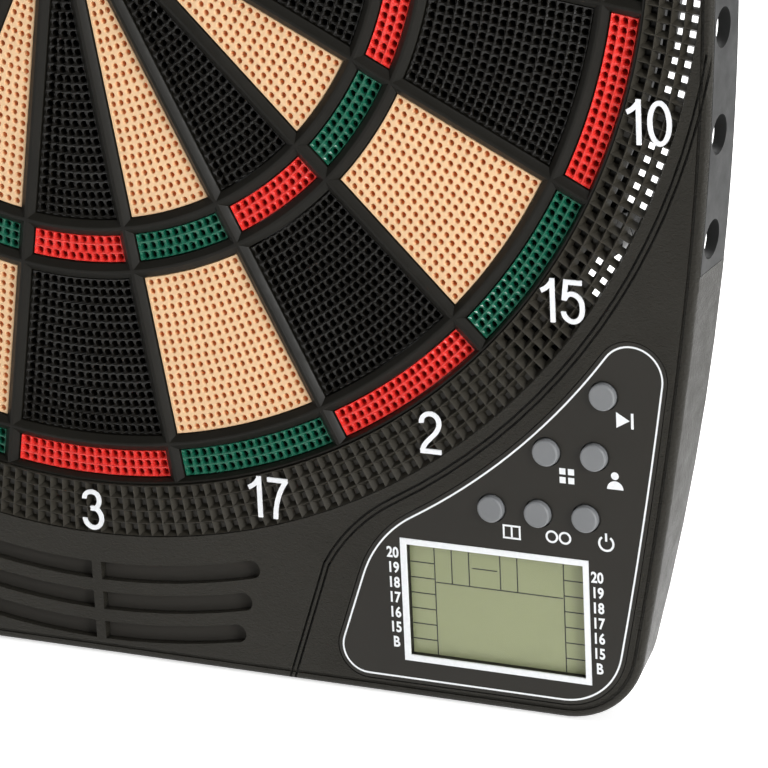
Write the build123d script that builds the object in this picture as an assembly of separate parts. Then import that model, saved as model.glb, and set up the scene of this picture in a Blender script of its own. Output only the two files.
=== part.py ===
from build123d import *
import math
import os

# Electronic dartboard, in millimetres. +Z is up, the board faces -Y, and the wall is the plane y = 0.
# The origin is on the axis of the bull, in the wall plane.
# Flat shapes are drawn in x and z and thickened along y, from a back level to a front level.

# Levels along y, from the front to the wall
BUTTON_TOP = -20.7
FACE = -19.1
OVERLAY_TOP = -19.0
RING_TOP = -18.6
RECESS_FLOOR = -18.4
WEB_RIDGE = -17.9
WEB_SHOULDER = -16.7
PLATE_BACK = -16.5
SEGMENT_FACE = -16.1
RING_BACK = -15.6
WEB_BACK = -12.2
FLANGE_FRONT = -11.8
SEGMENT_BACK = -10.6
BOARD_FRONT = -11.9
BOARD_BACK = -10.3
MAT_FRONT = -9.4
MAT_BACK = -8.6
FRONT_FILM_BACK = -8.35
SPACER_BACK = -8.05
BACK_FILM_BACK = -7.8
BACKING_BACK = -5.8
COVER_RIM_FRONT = -8.6
COVER_INSIDE = -2.0
WALL_PLANE = 0.0

# Housing outline
SIDE_CENTRE = 598.0
SIDE_RADIUS = 787.0
TOP_Z = 204.0
BOTTOM_Z = -223.2
BOTTOM_CORNER_RADIUS = 24.0
TOP_CORNER_RADIUS = 52.0
FLARE_TOP_Z = -100.0
FLARE_RADIUS = 1500.0
SIDE_WALL = 2.0
FRONT_EDGE_RADIUS = 1.6
EDGE_CREASE_INSET = 2.2
EDGE_CREASE_WIDTH = 0.9
EDGE_CREASE_DEPTH = 0.4

# Scoring area
SECTORS = 20
SECTOR = 360.0 / SECTORS
HALF_GAP = 2.45
DOUBLE_RING = (162.45, 170.0)
OUTER_SINGLE_RING = (112.6, 157.7)
TRIPLE_RING = (100.2, 107.7)
INNER_SINGLE_RING = (22.0, 95.35)
OUTER_BULL_RING = (6.9, 17.2)
INNER_BULL_RADIUS = 6.6
INNER_BULL_FLANGE = 7.7
BULL_COUNTERBORE = 8.2
BULL_COUNTERBORE_FRONT = -13.2
POCKET_CLEARANCE = 0.3
FLANGE_WIDTH = 1.2
WEB_RIDGE_WIDTH = 1.2
WEB_HUB_STEP = 0.9
WEB_RIM_STEP = 1.0
WEB_OUTER_RADIUS = 171.9
WEB_LIP_RADIUS = 176.0

# Catch ring
RING_INNER_RADIUS = 172.1
RING_OUTER_RADIUS = 186.75
RING_OPENING_RADIUS = 186.95
OPEN_ROWS_INNER = 179.5
OPEN_ROWS_OUTER = 186.0
BOSS_RADIUS_ON_RING = 180.5
BOSS_ANGLES = (0, 60, 119.5, 240.5, 300)

# Numerals, in clockwise order from the top
NUMBERS = (20, 1, 18, 4, 13, 6, 10, 15, 2, 17, 3, 19, 7, 16, 8, 11, 14, 9, 12, 5)
NUMERAL_RADIUS = 180.0
PAIR_RADIUS = 178.7
NUMERAL_HEIGHT = 12.0
NUMERAL_WIDTH = 6.6
NUMERAL_STROKE = 1.3
NUMERAL_ADVANCE = 7.2

# Grille at the bottom, concentric slots on each side of a central bar
GRILLE_ROWS = ((195.5, 200.8, 52.0), (204.5, 209.8, 49.0), (213.5, 218.8, 46.5))
GRILLE_BAR = 3.0

# Decorative double seam round the corner panels
SEAM_RADIUS = 190.2
SEAM_SPACING = 1.5
SEAM_WIDTH = 0.65
SEAM_DEPTH = 0.7
SEAM_START_ANGLE = 101.0
SEAM_TURN_ANGLE = 150.5
SEAM_TURN_END = (72.0, -187.0)
SEAM_TURN_SHIFT = (0.9, -0.4)
SEAM_FOOT = (59.4, -223.2)

# Control panel
PANEL_RING_RADIUS = 195.9
PANEL_SIDE_INSET = 5.1
PANEL_CLEARANCE = 0.25
PANEL_BOTTOM_Z = -219.2
PANEL_LEFT_LINE = ((76.9, -204.6), (82.2, -189.6))
PANEL_CORNERS = (((180, -79), 10.0), ((154, -219), 19.0), ((73, -219), 8.6), ((88, -175), 36.0))
BUTTONS = {
    "start_button": (156.1, -130.0),
    "game_button": (139.4, -147.3),
    "player_button": (153.1, -147.2),
    "display_button": (122.9, -165.1),
    "double_button": (136.4, -165.0),
    "power_button": (150.1, -164.8),
}
BUTTON_RADIUS = 3.7
BUTTON_HOLE_RADIUS = 4.1
BUTTON_FLANGE_RADIUS = 4.9
BUTTON_BACK = -14.6
BUTTON_EDGE_RADIUS = 0.6
KEYPAD_FRONT = -13.6
DISPLAY_CENTRE = (122.8, -194.8)
DISPLAY_FRAME = (55.2, 35.8)
DISPLAY_BORDER = 1.7
DISPLAY_GLASS_FRONT = -16.4
DISPLAY_GLASS_BACK = -14.6

# Dart storage in the side walls
HOLDER_TOP = -22.5
HOLDER_BOTTOM = -95.5
HOLDER_FRONT = -17.6
DART_HOLE_RADIUS = 5.25
DART_HOLE_Y = -11.3
DART_HOLES_Z = (-31.0, -59.0, -87.0)
DART_COLLAR_RADIUS = 6.0
DART_COLLAR_DEPTH = 3.4

# Sensor stack
MEMBRANE_RADIUS = 169.0
MAT_RADIUS = 170.0
BACKING_RADIUS = 171.0
TAIL_WIDTH = 26.0
TAIL_END = 205.0
TAIL_ANGLE = 138.0

# Rear cover and wall fixings
COVER_RADIUS = 175.5
COVER_RIM = 2.0
COVER_LIP_RADIUS = 177.3
COVER_LIP = 1.0
COVER_LOWER_TOP = -112.0
COVER_GAP = 0.3
KEYHOLE_X = 80.0
KEYHOLE_Z = 100.0
KEYHOLE_HEAD_RADIUS = 4.5
KEYHOLE_SLOT_RADIUS = 2.25
KEYHOLE_RISE = 9.0

# Batteries
CELL_RADIUS = 7.1
CELL_LENGTH = 50.0
CELL_Y = -8.5
CELL_PITCH = 15.2
BOX_CENTRE = (-124.0, -190.5)
BOX_SIZE = (56.0, 48.0)
BOX_WALL = 1.2
DOOR_FRONT = -1.3
DOOR_BACK = -0.1
DOOR_GAP = 0.5
HINGE_Y = -0.7
HINGE_OFFSET = -0.2
HINGE_BARREL_RADIUS = 0.6
HINGE_PIN_RADIUS = 0.45
HINGE_SOCKET_RADIUS = 0.55

# Speaker
SPEAKER_CENTRE = (0.0, -206.0)
SPEAKER_RADIUS = 13.5

# Screws
SCREW_RADIUS = 1.45
SCREW_HEAD_RADIUS = 2.8
CORNER_SCREWS = [(157, -180), (-160, -160), (68, -214), (-68, -214)]
BOARD_SCREWS = [(104, -172), (164, -133), (88, -213)]
SPEAKER_SCREWS = [(-19, -190), (19, -190)]
BOARD_SCREW_CUT = 4.4


# ---------------------------------------------------------------- helpers

def slab(shape, back, front):
    """A flat x-z shape thickened from y = back to the more negative y = front."""
    return extrude(Plane.XZ.offset(-back) * shape, amount=back - front)


def disc(radius, centre=(0, 0)):
    return Pos(centre[0], centre[1]) * Circle(radius)


def rect(width, height, centre=(0, 0)):
    return Pos(centre[0], centre[1]) * Rectangle(width, height)


def annulus(inner, outer):
    return Circle(outer) - Circle(inner)


def rod(radius, centre, back, front):
    return slab(disc(radius, centre), back, front)


def on_circle(radius, angle):
    """A point at an angle measured clockwise from the top."""
    turn = math.radians(angle)
    return (radius * math.sin(turn), radius * math.cos(turn))


def group(solids):
    """Separate solids of one node."""
    pieces = []
    for item in solids:
        pieces.extend(item.solids())
    return Compound(children=pieces)


def mirrored(shape):
    return mirror(shape, about=Plane.YZ)


def save(node, shape):
    export_step(shape, f"parts/{node}.step")
    print(node, round(shape.volume))


# ---------------------------------------------------------------- outline and housing

def side_barrel(inset=0.0):
    """The area between the two large side arcs."""
    right = disc(SIDE_RADIUS - inset, (-SIDE_CENTRE, 0))
    left = disc(SIDE_RADIUS - inset, (SIDE_CENTRE, 0))
    return right & left


def flare_disc(inset=0.0, side=1):
    """A flatter arc that leaves the side arc smoothly at the top of the flare."""
    edge = math.sqrt(SIDE_RADIUS ** 2 - FLARE_TOP_Z ** 2) - SIDE_CENTRE
    growth = FLARE_RADIUS / SIDE_RADIUS
    centre = (edge - (edge + SIDE_CENTRE) * growth, FLARE_TOP_Z * (1 - growth))
    return disc(FLARE_RADIUS - inset, (side * centre[0], centre[1]))


def flare_field(inset=0.0):
    """Everything below the height where the flatter arcs begin."""
    top = FLARE_TOP_Z * (1 - inset / SIDE_RADIUS)
    return rect(500, 300, (0, top - 150))


def flared_barrel(inset=0.0):
    """The barrel with flatter, wider sides in its lower part."""
    flare = flare_disc(inset) & flare_disc(inset, -1) & flare_field(inset)
    return (side_barrel(inset) - flare_field(inset)) + flare


def trimmed(barrel, inset):
    """Cuts a barrel straight at the top and bottom and rounds the four corners."""
    height = TOP_Z - BOTTOM_Z - 2 * inset
    middle = (TOP_Z + BOTTOM_Z) / 2
    body = barrel & rect(500, height, (0, middle))
    low = body.vertices().filter_by(lambda v: v.Y < BOTTOM_Z + inset + 1)
    body = fillet(low, BOTTOM_CORNER_RADIUS - inset)
    high = body.vertices().filter_by(lambda v: v.Y > TOP_Z - inset - 1)
    return fillet(high, TOP_CORNER_RADIUS - inset)


def outline(inset=0.0):
    """The housing's outline at the wall."""
    return trimmed(side_barrel(inset), inset)


def front_outline(inset=0.0):
    """The housing's outline at the front."""
    return trimmed(flared_barrel(inset), inset)


def housing_block():
    """The housing's outer shape: straight walls above, walls widening towards the front below."""
    upper = slab(outline() - flare_field(), WALL_PLANE, FACE)
    rear = Plane.XZ.offset(-WALL_PLANE) * (outline() & flare_field())
    front = Plane.XZ.offset(-FACE) * (front_outline() & flare_field())
    return upper + loft([rear.faces()[0], front.faces()[0]], ruled=True)


def panel_area(inset=0.0):
    """The control panel's outline: it follows the catch ring, the side wall and the bottom edge."""
    low, high = PANEL_LEFT_LINE
    length = math.hypot(high[0] - low[0], high[1] - low[1])
    run = (high[0] - low[0]) / (high[1] - low[1])
    start_x = low[0] + inset * length / (high[1] - low[1])
    bottom = PANEL_BOTTOM_Z + inset
    foot = (start_x + run * (bottom - low[1]), bottom)
    peak = (start_x + run * (-60 - low[1]), -60)
    field = make_face(Polyline(foot, peak, (260, peak[1]), (260, bottom), close=True))
    area = (field & flare_disc(PANEL_SIDE_INSET + inset)) - Circle(PANEL_RING_RADIUS + inset)
    shape = Sketch() + area.faces().sort_by(lambda f: f.center().Y)[0]
    for corner, radius in PANEL_CORNERS:
        nearest = shape.vertices().sort_by_distance((corner[0], corner[1], 0))[0]
        shape = fillet(nearest, radius - inset)
    return shape


def seam_line(shift):
    """The seam's path: round the catch ring, then down to the bottom edge. shift moves it outwards."""
    radius = SEAM_RADIUS + shift
    start = on_circle(radius, SEAM_START_ANGLE)
    middle = on_circle(radius, (SEAM_START_ANGLE + SEAM_TURN_ANGLE) / 2)
    turn = on_circle(radius, SEAM_TURN_ANGLE)
    heading = (-math.cos(math.radians(SEAM_TURN_ANGLE - 180)), math.sin(math.radians(SEAM_TURN_ANGLE - 180)))
    end = (SEAM_TURN_END[0] + shift * SEAM_TURN_SHIFT[0], SEAM_TURN_END[1] + shift * SEAM_TURN_SHIFT[1])
    foot = (SEAM_FOOT[0] + shift, SEAM_FOOT[1])
    round_part = ThreePointArc(start, middle, turn)
    bend = TangentArc(turn, end, tangent=heading)
    return [round_part, bend, Line(bend @ 1, foot)]


def seam_grooves():
    cuts = []
    for shift in (0.0, SEAM_SPACING):
        for edge in seam_line(shift):
            cuts.append(slab(trace(edge, SEAM_WIDTH), FACE + SEAM_DEPTH, FACE - 1))
    return cuts


def grille_slot(inner, outer, reach):
    """One slot right of the central bar: square at the bar, round at its outer end."""
    middle = (inner + outer) / 2
    half = (outer - inner) / 2
    end_x = reach - half
    end = (end_x, -math.sqrt(middle ** 2 - end_x ** 2))
    beyond = 1.3
    side = make_face(Polyline(
        (GRILLE_BAR / 2, -150), (end[0] / beyond, end[1] / beyond), (end[0] * beyond, end[1] * beyond),
        (GRILLE_BAR / 2, -290), close=True))
    return (annulus(inner, outer) & side) + disc(half, end)


def bosses(points, radius, hole, back, front):
    """Screw bosses standing on the inside of the front plate or the ring."""
    return [slab(disc(radius, p) - disc(hole, p), back, front) for p in points]


def front_housing():
    shell = housing_block()
    rim = shell.faces().sort_by(Axis.Y)[0].outer_wire().edges()
    shell = fillet(rim, FRONT_EDGE_RADIUS)
    shell -= slab(outline(SIDE_WALL), WALL_PLANE + 1, PLATE_BACK)
    shell -= slab(Circle(RING_OPENING_RADIUS), WALL_PLANE, FACE - 1)
    for row in GRILLE_ROWS:
        slot = slab(grille_slot(*row), PLATE_BACK + 1, FACE - 1)
        shell -= slot
        shell -= mirrored(slot)
    crease = front_outline(EDGE_CREASE_INSET) - front_outline(EDGE_CREASE_INSET + EDGE_CREASE_WIDTH)
    shell -= slab(crease, FACE + EDGE_CREASE_DEPTH, FACE - 1)
    shell -= slab(panel_area(-PANEL_CLEARANCE), RECESS_FLOOR, FACE - 1)
    for centre in BUTTONS.values():
        shell -= rod(BUTTON_HOLE_RADIUS, centre, PLATE_BACK + 1, FACE - 1)
    window = (DISPLAY_FRAME[0] - 2 * DISPLAY_BORDER, DISPLAY_FRAME[1] - 2 * DISPLAY_BORDER)
    shell -= slab(rect(*window, DISPLAY_CENTRE), PLATE_BACK + 1, FACE - 1)
    for side in (-1, 1):
        height = HOLDER_TOP - HOLDER_BOTTOM
        gap = rect(40, height, (side * 190, (HOLDER_TOP + HOLDER_BOTTOM) / 2))
        shell -= slab(gap, WALL_PLANE + 1, HOLDER_FRONT)
    for cut in seam_grooves():
        shell -= cut
        shell -= mirrored(cut)
    for boss in bosses(CORNER_SCREWS, 3.6, 1.3, -2.4, PLATE_BACK):
        shell += boss
    for boss in bosses(BOARD_SCREWS, 2.8, 1.0, BOARD_FRONT, PLATE_BACK):
        shell += boss
    for boss in bosses(SPEAKER_SCREWS, 2.6, 1.0, -10.0, PLATE_BACK):
        shell += boss
    return shell


# ---------------------------------------------------------------- scoring area

def wedge(gap):
    """The area between two lines parallel to a sector's edges, each moved in by the gap. It points up."""
    half = math.radians(SECTOR / 2)
    apex = gap / math.sin(half)
    reach = 260.0
    wide = (reach - apex) * math.tan(half)
    return make_face(Polyline((0, apex), (-wide, reach), (wide, reach), close=True))


def segment_shape(ring, grow=0.0):
    inner, outer = ring
    return annulus(inner - grow, outer + grow) & wedge(HALF_GAP - grow)


def in_sectors(shape, sectors):
    return [Rot(0, 0, -SECTOR * k) * shape for k in sectors]


def segments(ring, parity):
    """All segments of one colour in one ring. Even sectors start with number 20."""
    face = slab(segment_shape(ring), SEGMENT_BACK, SEGMENT_FACE)
    flange = slab(segment_shape(ring, FLANGE_WIDTH), SEGMENT_BACK, FLANGE_FRONT)
    one = face + flange
    turned = [Rot(0, SECTOR * k, 0) * one for k in range(parity, SECTORS, 2)]
    return group(turned)


def outer_bull():
    bull = slab(annulus(*OUTER_BULL_RING), SEGMENT_BACK, SEGMENT_FACE)
    bull += slab(annulus(OUTER_BULL_RING[0], OUTER_BULL_RING[1] + FLANGE_WIDTH), SEGMENT_BACK, FLANGE_FRONT)
    return bull - rod(BULL_COUNTERBORE, (0, 0), SEGMENT_BACK + 1, BULL_COUNTERBORE_FRONT)


def inner_bull():
    cap = rod(INNER_BULL_RADIUS, (0, 0), SEGMENT_BACK, SEGMENT_FACE)
    return cap + rod(INNER_BULL_FLANGE, (0, 0), SEGMENT_BACK, FLANGE_FRONT)


def web_sketch(inner, outer, grow, rim_grow):
    """The web seen from the front: a disc with every segment's opening cut out, made wider by grow.
    rim_grow is for the outer side of the double ring."""
    grid = annulus(inner, outer)
    for ring in (DOUBLE_RING, OUTER_SINGLE_RING, TRIPLE_RING, INNER_SINGLE_RING):
        outward = rim_grow if ring is DOUBLE_RING else grow
        opening = annulus(ring[0] - grow, ring[1] + outward) & wedge(HALF_GAP - grow)
        for cut in in_sectors(opening, range(SECTORS)):
            grid -= cut
    return grid


def spider_web():
    hub = OUTER_BULL_RING[1] + POCKET_CLEARANCE
    grid = web_sketch(hub, WEB_OUTER_RADIUS, POCKET_CLEARANCE, POCKET_CLEARANCE)
    web = slab(grid, WEB_BACK, WEB_SHOULDER)
    web += slab(annulus(DOUBLE_RING[1] + POCKET_CLEARANCE, WEB_LIP_RADIUS), WEB_BACK, RING_BACK + 0.2)
    ridge_grow = HALF_GAP - WEB_RIDGE_WIDTH / 2
    ridge = web_sketch(hub + WEB_HUB_STEP, WEB_OUTER_RADIUS, ridge_grow, WEB_RIM_STEP)
    return web + slab(ridge, WEB_SHOULDER, WEB_RIDGE)


# ---------------------------------------------------------------- catch ring and numerals

def catch_ring():
    ring = slab(annulus(RING_INNER_RADIUS, RING_OUTER_RADIUS), RING_BACK, RING_TOP)
    open_rows = annulus(OPEN_ROWS_INNER, OPEN_ROWS_OUTER) & wedge(1.6)
    for cut in in_sectors(open_rows, range(SECTORS)):
        ring -= slab(cut, RING_BACK + 1, RING_TOP - 1)
    for angle in BOSS_ANGLES:
        centre = on_circle(BOSS_RADIUS_ON_RING, angle)
        ring += slab(disc(4.2, centre) - disc(1.3, centre), COVER_RIM_FRONT - 0.3, RING_TOP)
    return ring


def digit(character):
    """A digit drawn with an even stroke, centred on the origin."""
    a = (NUMERAL_WIDTH - NUMERAL_STROKE) / 2
    b = (NUMERAL_HEIGHT - NUMERAL_STROKE) / 2
    edge = NUMERAL_STROKE / 2

    def curve(*points):
        return Spline([(x * a, z * b) for x, z in points])

    def straight(start, finish):
        return Line((start[0] * a, start[1] * b), (finish[0] * a, finish[1] * b))

    def loop(centre_z, rx, rz):
        outer = Ellipse(rx * a + edge, rz * b + edge)
        inner = Ellipse(rx * a - edge, rz * b - edge)
        return Pos(0, centre_z * b) * (outer - inner)

    tall = 1 + edge / b
    bowl = [(-0.6, 0.28), (0.05, 0.4), (0.75, 0.18), (1.0, -0.3), (0.75, -0.8), (0.0, -1.0), (-0.7, -0.86), (-1.0, -0.52)]
    strokes = {
        "1": [straight((0.3, tall), (0.3, -tall)), curve((0.25, 0.95), (-0.25, 0.66), (-0.9, 0.46))],
        "2": [curve((-0.98, 0.48), (-0.72, 0.84), (0.0, 1.0), (0.76, 0.82), (0.95, 0.46), (0.6, 0.04),
                    (-0.3, -0.42), (-0.82, -0.76), (-1.0, -1.0)), straight((-1.2, -1.0), (1.1, -1.0))],
        "3": [curve((-0.92, 0.58), (-0.6, 0.9), (0.0, 1.0), (0.65, 0.86), (0.84, 0.54), (0.55, 0.18), (-0.2, 0.08)),
              curve((-0.2, 0.08), (0.6, 0.0), (1.0, -0.42), (0.72, -0.84), (0.0, -1.0), (-0.7, -0.86), (-1.0, -0.5))],
        "4": [straight((0.45, tall), (0.45, -tall)), straight((-1.2, -0.48), (1.25, -0.48)),
              straight((0.42, 0.98), (-1.05, -0.45))],
        "5": [straight((-0.7, 1.0), (1.0, 1.0)), straight((-0.66, tall), (-0.92, 0.06)),
              curve((-0.86, 0.1), *bowl[1:])],
        "6": [curve((0.92, 0.58), (0.62, 0.88), (0.06, 1.0), (-0.62, 0.78), (-0.97, 0.2), (-1.0, -0.38))],
        "7": [straight((-1.15, 1.0), (1.15, 1.0)), curve((1.0, 1.0), (0.3, 0.42), (-0.2, -0.3), (-0.4, -tall))],
    }
    drawn = Sketch()
    for line in strokes.get(character, []):
        drawn += trace(line, NUMERAL_STROKE)
    if character == "0":
        drawn += loop(0, 1.0, 1.0)
    if character == "6":
        drawn += loop(-0.38, 1.0, 0.62)
    if character == "8":
        drawn += loop(0.53, 0.82, 0.47)
        drawn += loop(-0.45, 1.0, 0.55)
    if character == "9":
        drawn = Rot(0, 0, 180) * digit("6")
    return drawn


def numerals():
    digits = {c: digit(c) for c in "0123456789"}
    solids = []
    for index, number in enumerate(NUMBERS):
        text = str(number)
        radius = NUMERAL_RADIUS if len(text) == 1 else PAIR_RADIUS
        cx, cz = on_circle(radius, SECTOR * index)
        shape = Sketch()
        for place, character in enumerate(text):
            shift = (place - (len(text) - 1) / 2) * NUMERAL_ADVANCE
            if character == "1" and len(text) == 2:
                shift += 0.7 if place == 0 else -0.7
            shape += Pos(cx + shift, cz) * digits[character]
        solids.append(slab(shape, RING_TOP, FACE))
    return group(solids)


# ---------------------------------------------------------------- dart holders

def dart_holder():
    """The right-hand strip: part of the side wall with three holes and a collar behind each."""
    height = HOLDER_TOP - HOLDER_BOTTOM - 0.3
    middle = (HOLDER_TOP + HOLDER_BOTTOM) / 2
    band = rect(60, height, (180, middle))
    wall = (side_barrel() - side_barrel(SIDE_WALL)) & band
    strip = slab(wall, WALL_PLANE - 0.2, HOLDER_FRONT + 0.2)
    for z in DART_HOLES_Z:
        outside = math.sqrt(SIDE_RADIUS ** 2 - z ** 2) - SIDE_CENTRE
        axis = Plane(origin=(outside - DART_COLLAR_DEPTH, DART_HOLE_Y, z), z_dir=(1, 0, 0))
        strip += extrude(axis * Circle(DART_COLLAR_RADIUS), amount=DART_COLLAR_DEPTH - SIDE_WALL / 2)
        strip -= extrude(axis.offset(-5) * Circle(DART_HOLE_RADIUS), amount=DART_COLLAR_DEPTH + 20)
    return strip


# ---------------------------------------------------------------- sensor stack and rear cover

def sensor_layer(radius, back, front):
    return rod(radius, (0, 0), back, front)


def membrane_spacer():
    """A film with an opening under each ring of segments."""
    film = Circle(MEMBRANE_RADIUS)
    for ring in (DOUBLE_RING, OUTER_SINGLE_RING, TRIPLE_RING, INNER_SINGLE_RING):
        inner, outer = ring
        opening = annulus(inner + 2, outer - 2) & wedge(HALF_GAP + 2)
        for cut in in_sectors(opening, range(0, SECTORS)):
            film -= cut
    return slab(film, SPACER_BACK, FRONT_FILM_BACK)


def membrane_tail():
    """Flat conductor from the back membrane's edge to the main board, in one stepped strip."""
    across = Rot(0, 0, -TAIL_ANGLE)
    film = BACK_FILM_BACK - SPACER_BACK
    bend = 185.0
    flat = across * rect(TAIL_WIDTH, bend - MEMBRANE_RADIUS + 2, (0, (bend + MEMBRANE_RADIUS - 2) / 2))
    rise = across * rect(TAIL_WIDTH, film, (0, bend - film / 2))
    land = across * rect(TAIL_WIDTH, TAIL_END - bend, (0, (TAIL_END + bend) / 2))
    tail = slab(flat - Circle(MEMBRANE_RADIUS), BACK_FILM_BACK, SPACER_BACK)
    tail += slab(rise, BACK_FILM_BACK, BOARD_BACK)
    return tail + slab(land, BOARD_BACK + film, BOARD_BACK)


def cover_plan(inset=0.0):
    lower = outline(SIDE_WALL + COVER_GAP + inset) & rect(500, 200, (0, COVER_LOWER_TOP - 100 - inset))
    return Circle(COVER_RADIUS - inset) + lower


def keyhole(x):
    head = disc(KEYHOLE_HEAD_RADIUS, (x, KEYHOLE_Z))
    neck = rect(2 * KEYHOLE_SLOT_RADIUS, KEYHOLE_RISE, (x, KEYHOLE_Z + KEYHOLE_RISE / 2))
    return head + neck + disc(KEYHOLE_SLOT_RADIUS, (x, KEYHOLE_Z + KEYHOLE_RISE))


def rear_cover():
    cover = slab(cover_plan(), WALL_PLANE, COVER_INSIDE)
    rim = annulus(COVER_RADIUS - COVER_RIM, COVER_RADIUS)
    notch = Rot(0, 0, -TAIL_ANGLE) * rect(TAIL_WIDTH + 4, 40, (0, 180))
    cover += slab(rim - notch, COVER_INSIDE, COVER_RIM_FRONT)
    lip = annulus(COVER_RADIUS - COVER_RIM, COVER_LIP_RADIUS)
    cover += slab(lip - notch, COVER_RIM_FRONT + COVER_LIP, COVER_RIM_FRONT)
    for angle in BOSS_ANGLES:
        centre = on_circle(BOSS_RADIUS_ON_RING, angle)
        ear = disc(4.2, centre) + Rot(0, 0, -angle) * rect(8.4, 8, (0, BOSS_RADIUS_ON_RING - 4))
        cover += slab(ear - Circle(COVER_RADIUS - 1), WALL_PLANE, COVER_INSIDE)
        cover += slab(disc(4.2, centre), COVER_INSIDE, COVER_RIM_FRONT)
    for angle in range(15, 375, 45):
        cover += rod(4.0, on_circle(120, angle), COVER_INSIDE, BACKING_BACK)
    cover += slab(annulus(58, 60), COVER_INSIDE, BACKING_BACK)
    for x in (-KEYHOLE_X, KEYHOLE_X):
        cover -= slab(keyhole(x), WALL_PLANE + 1, COVER_INSIDE - 1)
    for centre in cover_screw_points():
        deep = COVER_RIM_FRONT - 1
        cover -= rod(SCREW_RADIUS + 0.15, centre, WALL_PLANE + 1, deep)
        cover -= rod(SCREW_HEAD_RADIUS + 0.3, centre, WALL_PLANE + 1, WALL_PLANE - 1.2)
    width, height = BOX_SIZE
    opening = rect(width - 2 * BOX_WALL, height - 2 * BOX_WALL, BOX_CENTRE)
    cover -= slab(opening, WALL_PLANE + 1, COVER_INSIDE - 1)
    return cover - hinge_rod(HINGE_SOCKET_RADIUS, height - 2 * BOX_WALL + 3.0)


def cover_screw_points():
    ring = [on_circle(BOSS_RADIUS_ON_RING, angle) for angle in BOSS_ANGLES]
    return ring + CORNER_SCREWS


def screw(centre, head_back, length, head=SCREW_HEAD_RADIUS, shank=SCREW_RADIUS):
    """A pan-head screw driven from the back towards the front."""
    top = rod(head, centre, head_back, head_back - 1.0)
    cross = rect(2.6, 0.5, centre) + rect(0.5, 2.6, centre)
    top -= slab(cross, head_back + 1, head_back - 0.6)
    return top + rod(shank, centre, head_back - 1.0, head_back - 1.0 - length)


def cover_screws():
    solids = []
    for centre in cover_screw_points():
        on_ring = math.hypot(*centre) < 182
        solids.append(screw(centre, -0.15, 11.0 if on_ring else 9.0, shank=1.25))
    return group(solids)


# ---------------------------------------------------------------- control panel and electronics

def control_overlay():
    plate = panel_area()
    for centre in BUTTONS.values():
        plate -= disc(BUTTON_HOLE_RADIUS, centre)
    plate -= rect(DISPLAY_FRAME[0] + 0.2, DISPLAY_FRAME[1] + 0.2, DISPLAY_CENTRE)
    return slab(plate, RECESS_FLOOR, OVERLAY_TOP)


def display_bezel():
    """White frame round the display window, flush with the overlay."""
    width, height = DISPLAY_FRAME
    inside = rect(width - 2 * DISPLAY_BORDER, height - 2 * DISPLAY_BORDER, DISPLAY_CENTRE)
    return slab(rect(width, height, DISPLAY_CENTRE) - inside, RECESS_FLOOR, OVERLAY_TOP)


def display_window():
    width, height = DISPLAY_FRAME
    inside = rect(width - 2 * DISPLAY_BORDER - 0.3, height - 2 * DISPLAY_BORDER - 0.3, DISPLAY_CENTRE)
    return slab(inside, DISPLAY_GLASS_FRONT - 0.05, DISPLAY_GLASS_FRONT - 0.65)


def display_glass():
    width, height = DISPLAY_FRAME
    return slab(rect(width - 1.0, height - 1.0, DISPLAY_CENTRE), DISPLAY_GLASS_BACK, DISPLAY_GLASS_FRONT)


def display_holder():
    """Plastic tray that clamps the glass against the housing and stands on the main board."""
    width, height = DISPLAY_FRAME
    outer = rect(width + 2.0, height + 1.4, DISPLAY_CENTRE)
    tray = slab(outer, BOARD_FRONT, DISPLAY_GLASS_FRONT + 0.1)
    tray -= slab(rect(width - 0.8, height - 0.8, DISPLAY_CENTRE), DISPLAY_GLASS_BACK, DISPLAY_GLASS_FRONT)
    tray -= slab(rect(width - 8, height - 12, DISPLAY_CENTRE), BOARD_FRONT + 1, DISPLAY_GLASS_BACK - 1)
    return tray - slab(connector_face(0.1), BOARD_FRONT + 1, DISPLAY_GLASS_BACK - 1)


def connector_face(grow=0.0):
    return rect(44 + 2 * grow, 1.8 + 2 * grow, (DISPLAY_CENTRE[0], DISPLAY_CENTRE[1] + 15.0))


def display_connector():
    return slab(connector_face(), BOARD_FRONT, DISPLAY_GLASS_BACK)


def button(centre):
    cap = rod(BUTTON_RADIUS, centre, BUTTON_BACK, BUTTON_TOP)
    cap = fillet(cap.edges().sort_by(Axis.Y)[0], BUTTON_EDGE_RADIUS)
    flange = rod(BUTTON_FLANGE_RADIUS, centre, PLATE_BACK + 1.3, PLATE_BACK + 0.15)
    return cap + flange


def keypad():
    """Rubber sheet on the board with one dome below each button."""
    xs = [c[0] for c in BUTTONS.values()]
    zs = [c[1] for c in BUTTONS.values()]
    sheet = make_face(Polyline(
        (min(xs) - 6, min(zs) - 6.5), (max(xs) - 0.5, min(zs) - 6.5), (max(xs) + 5.5, max(zs)),
        (max(xs) + 2, max(zs) + 6), (max(xs) - 6, max(zs) + 3), (min(xs) + 12, min(zs) + 21),
        (min(xs) - 6, min(zs) + 5), close=True))
    pad = slab(sheet, BOARD_FRONT, BOARD_FRONT - 0.8)
    for centre in BUTTONS.values():
        pad += rod(3.0, centre, BOARD_FRONT - 0.8, KEYPAD_FRONT)
    for point in BOARD_SCREWS:
        pad -= rod(3.4, point, BOARD_FRONT + 1, KEYPAD_FRONT - 1)
    return pad


def board_area():
    area = panel_area(2.5)
    return area - disc(BOARD_SCREW_CUT, CORNER_SCREWS[0])


def main_board():
    board = slab(board_area(), BOARD_BACK, BOARD_FRONT)
    for point in BOARD_SCREWS:
        board -= rod(1.3, point, BOARD_BACK + 1, BOARD_FRONT - 1)
    return board


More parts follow.
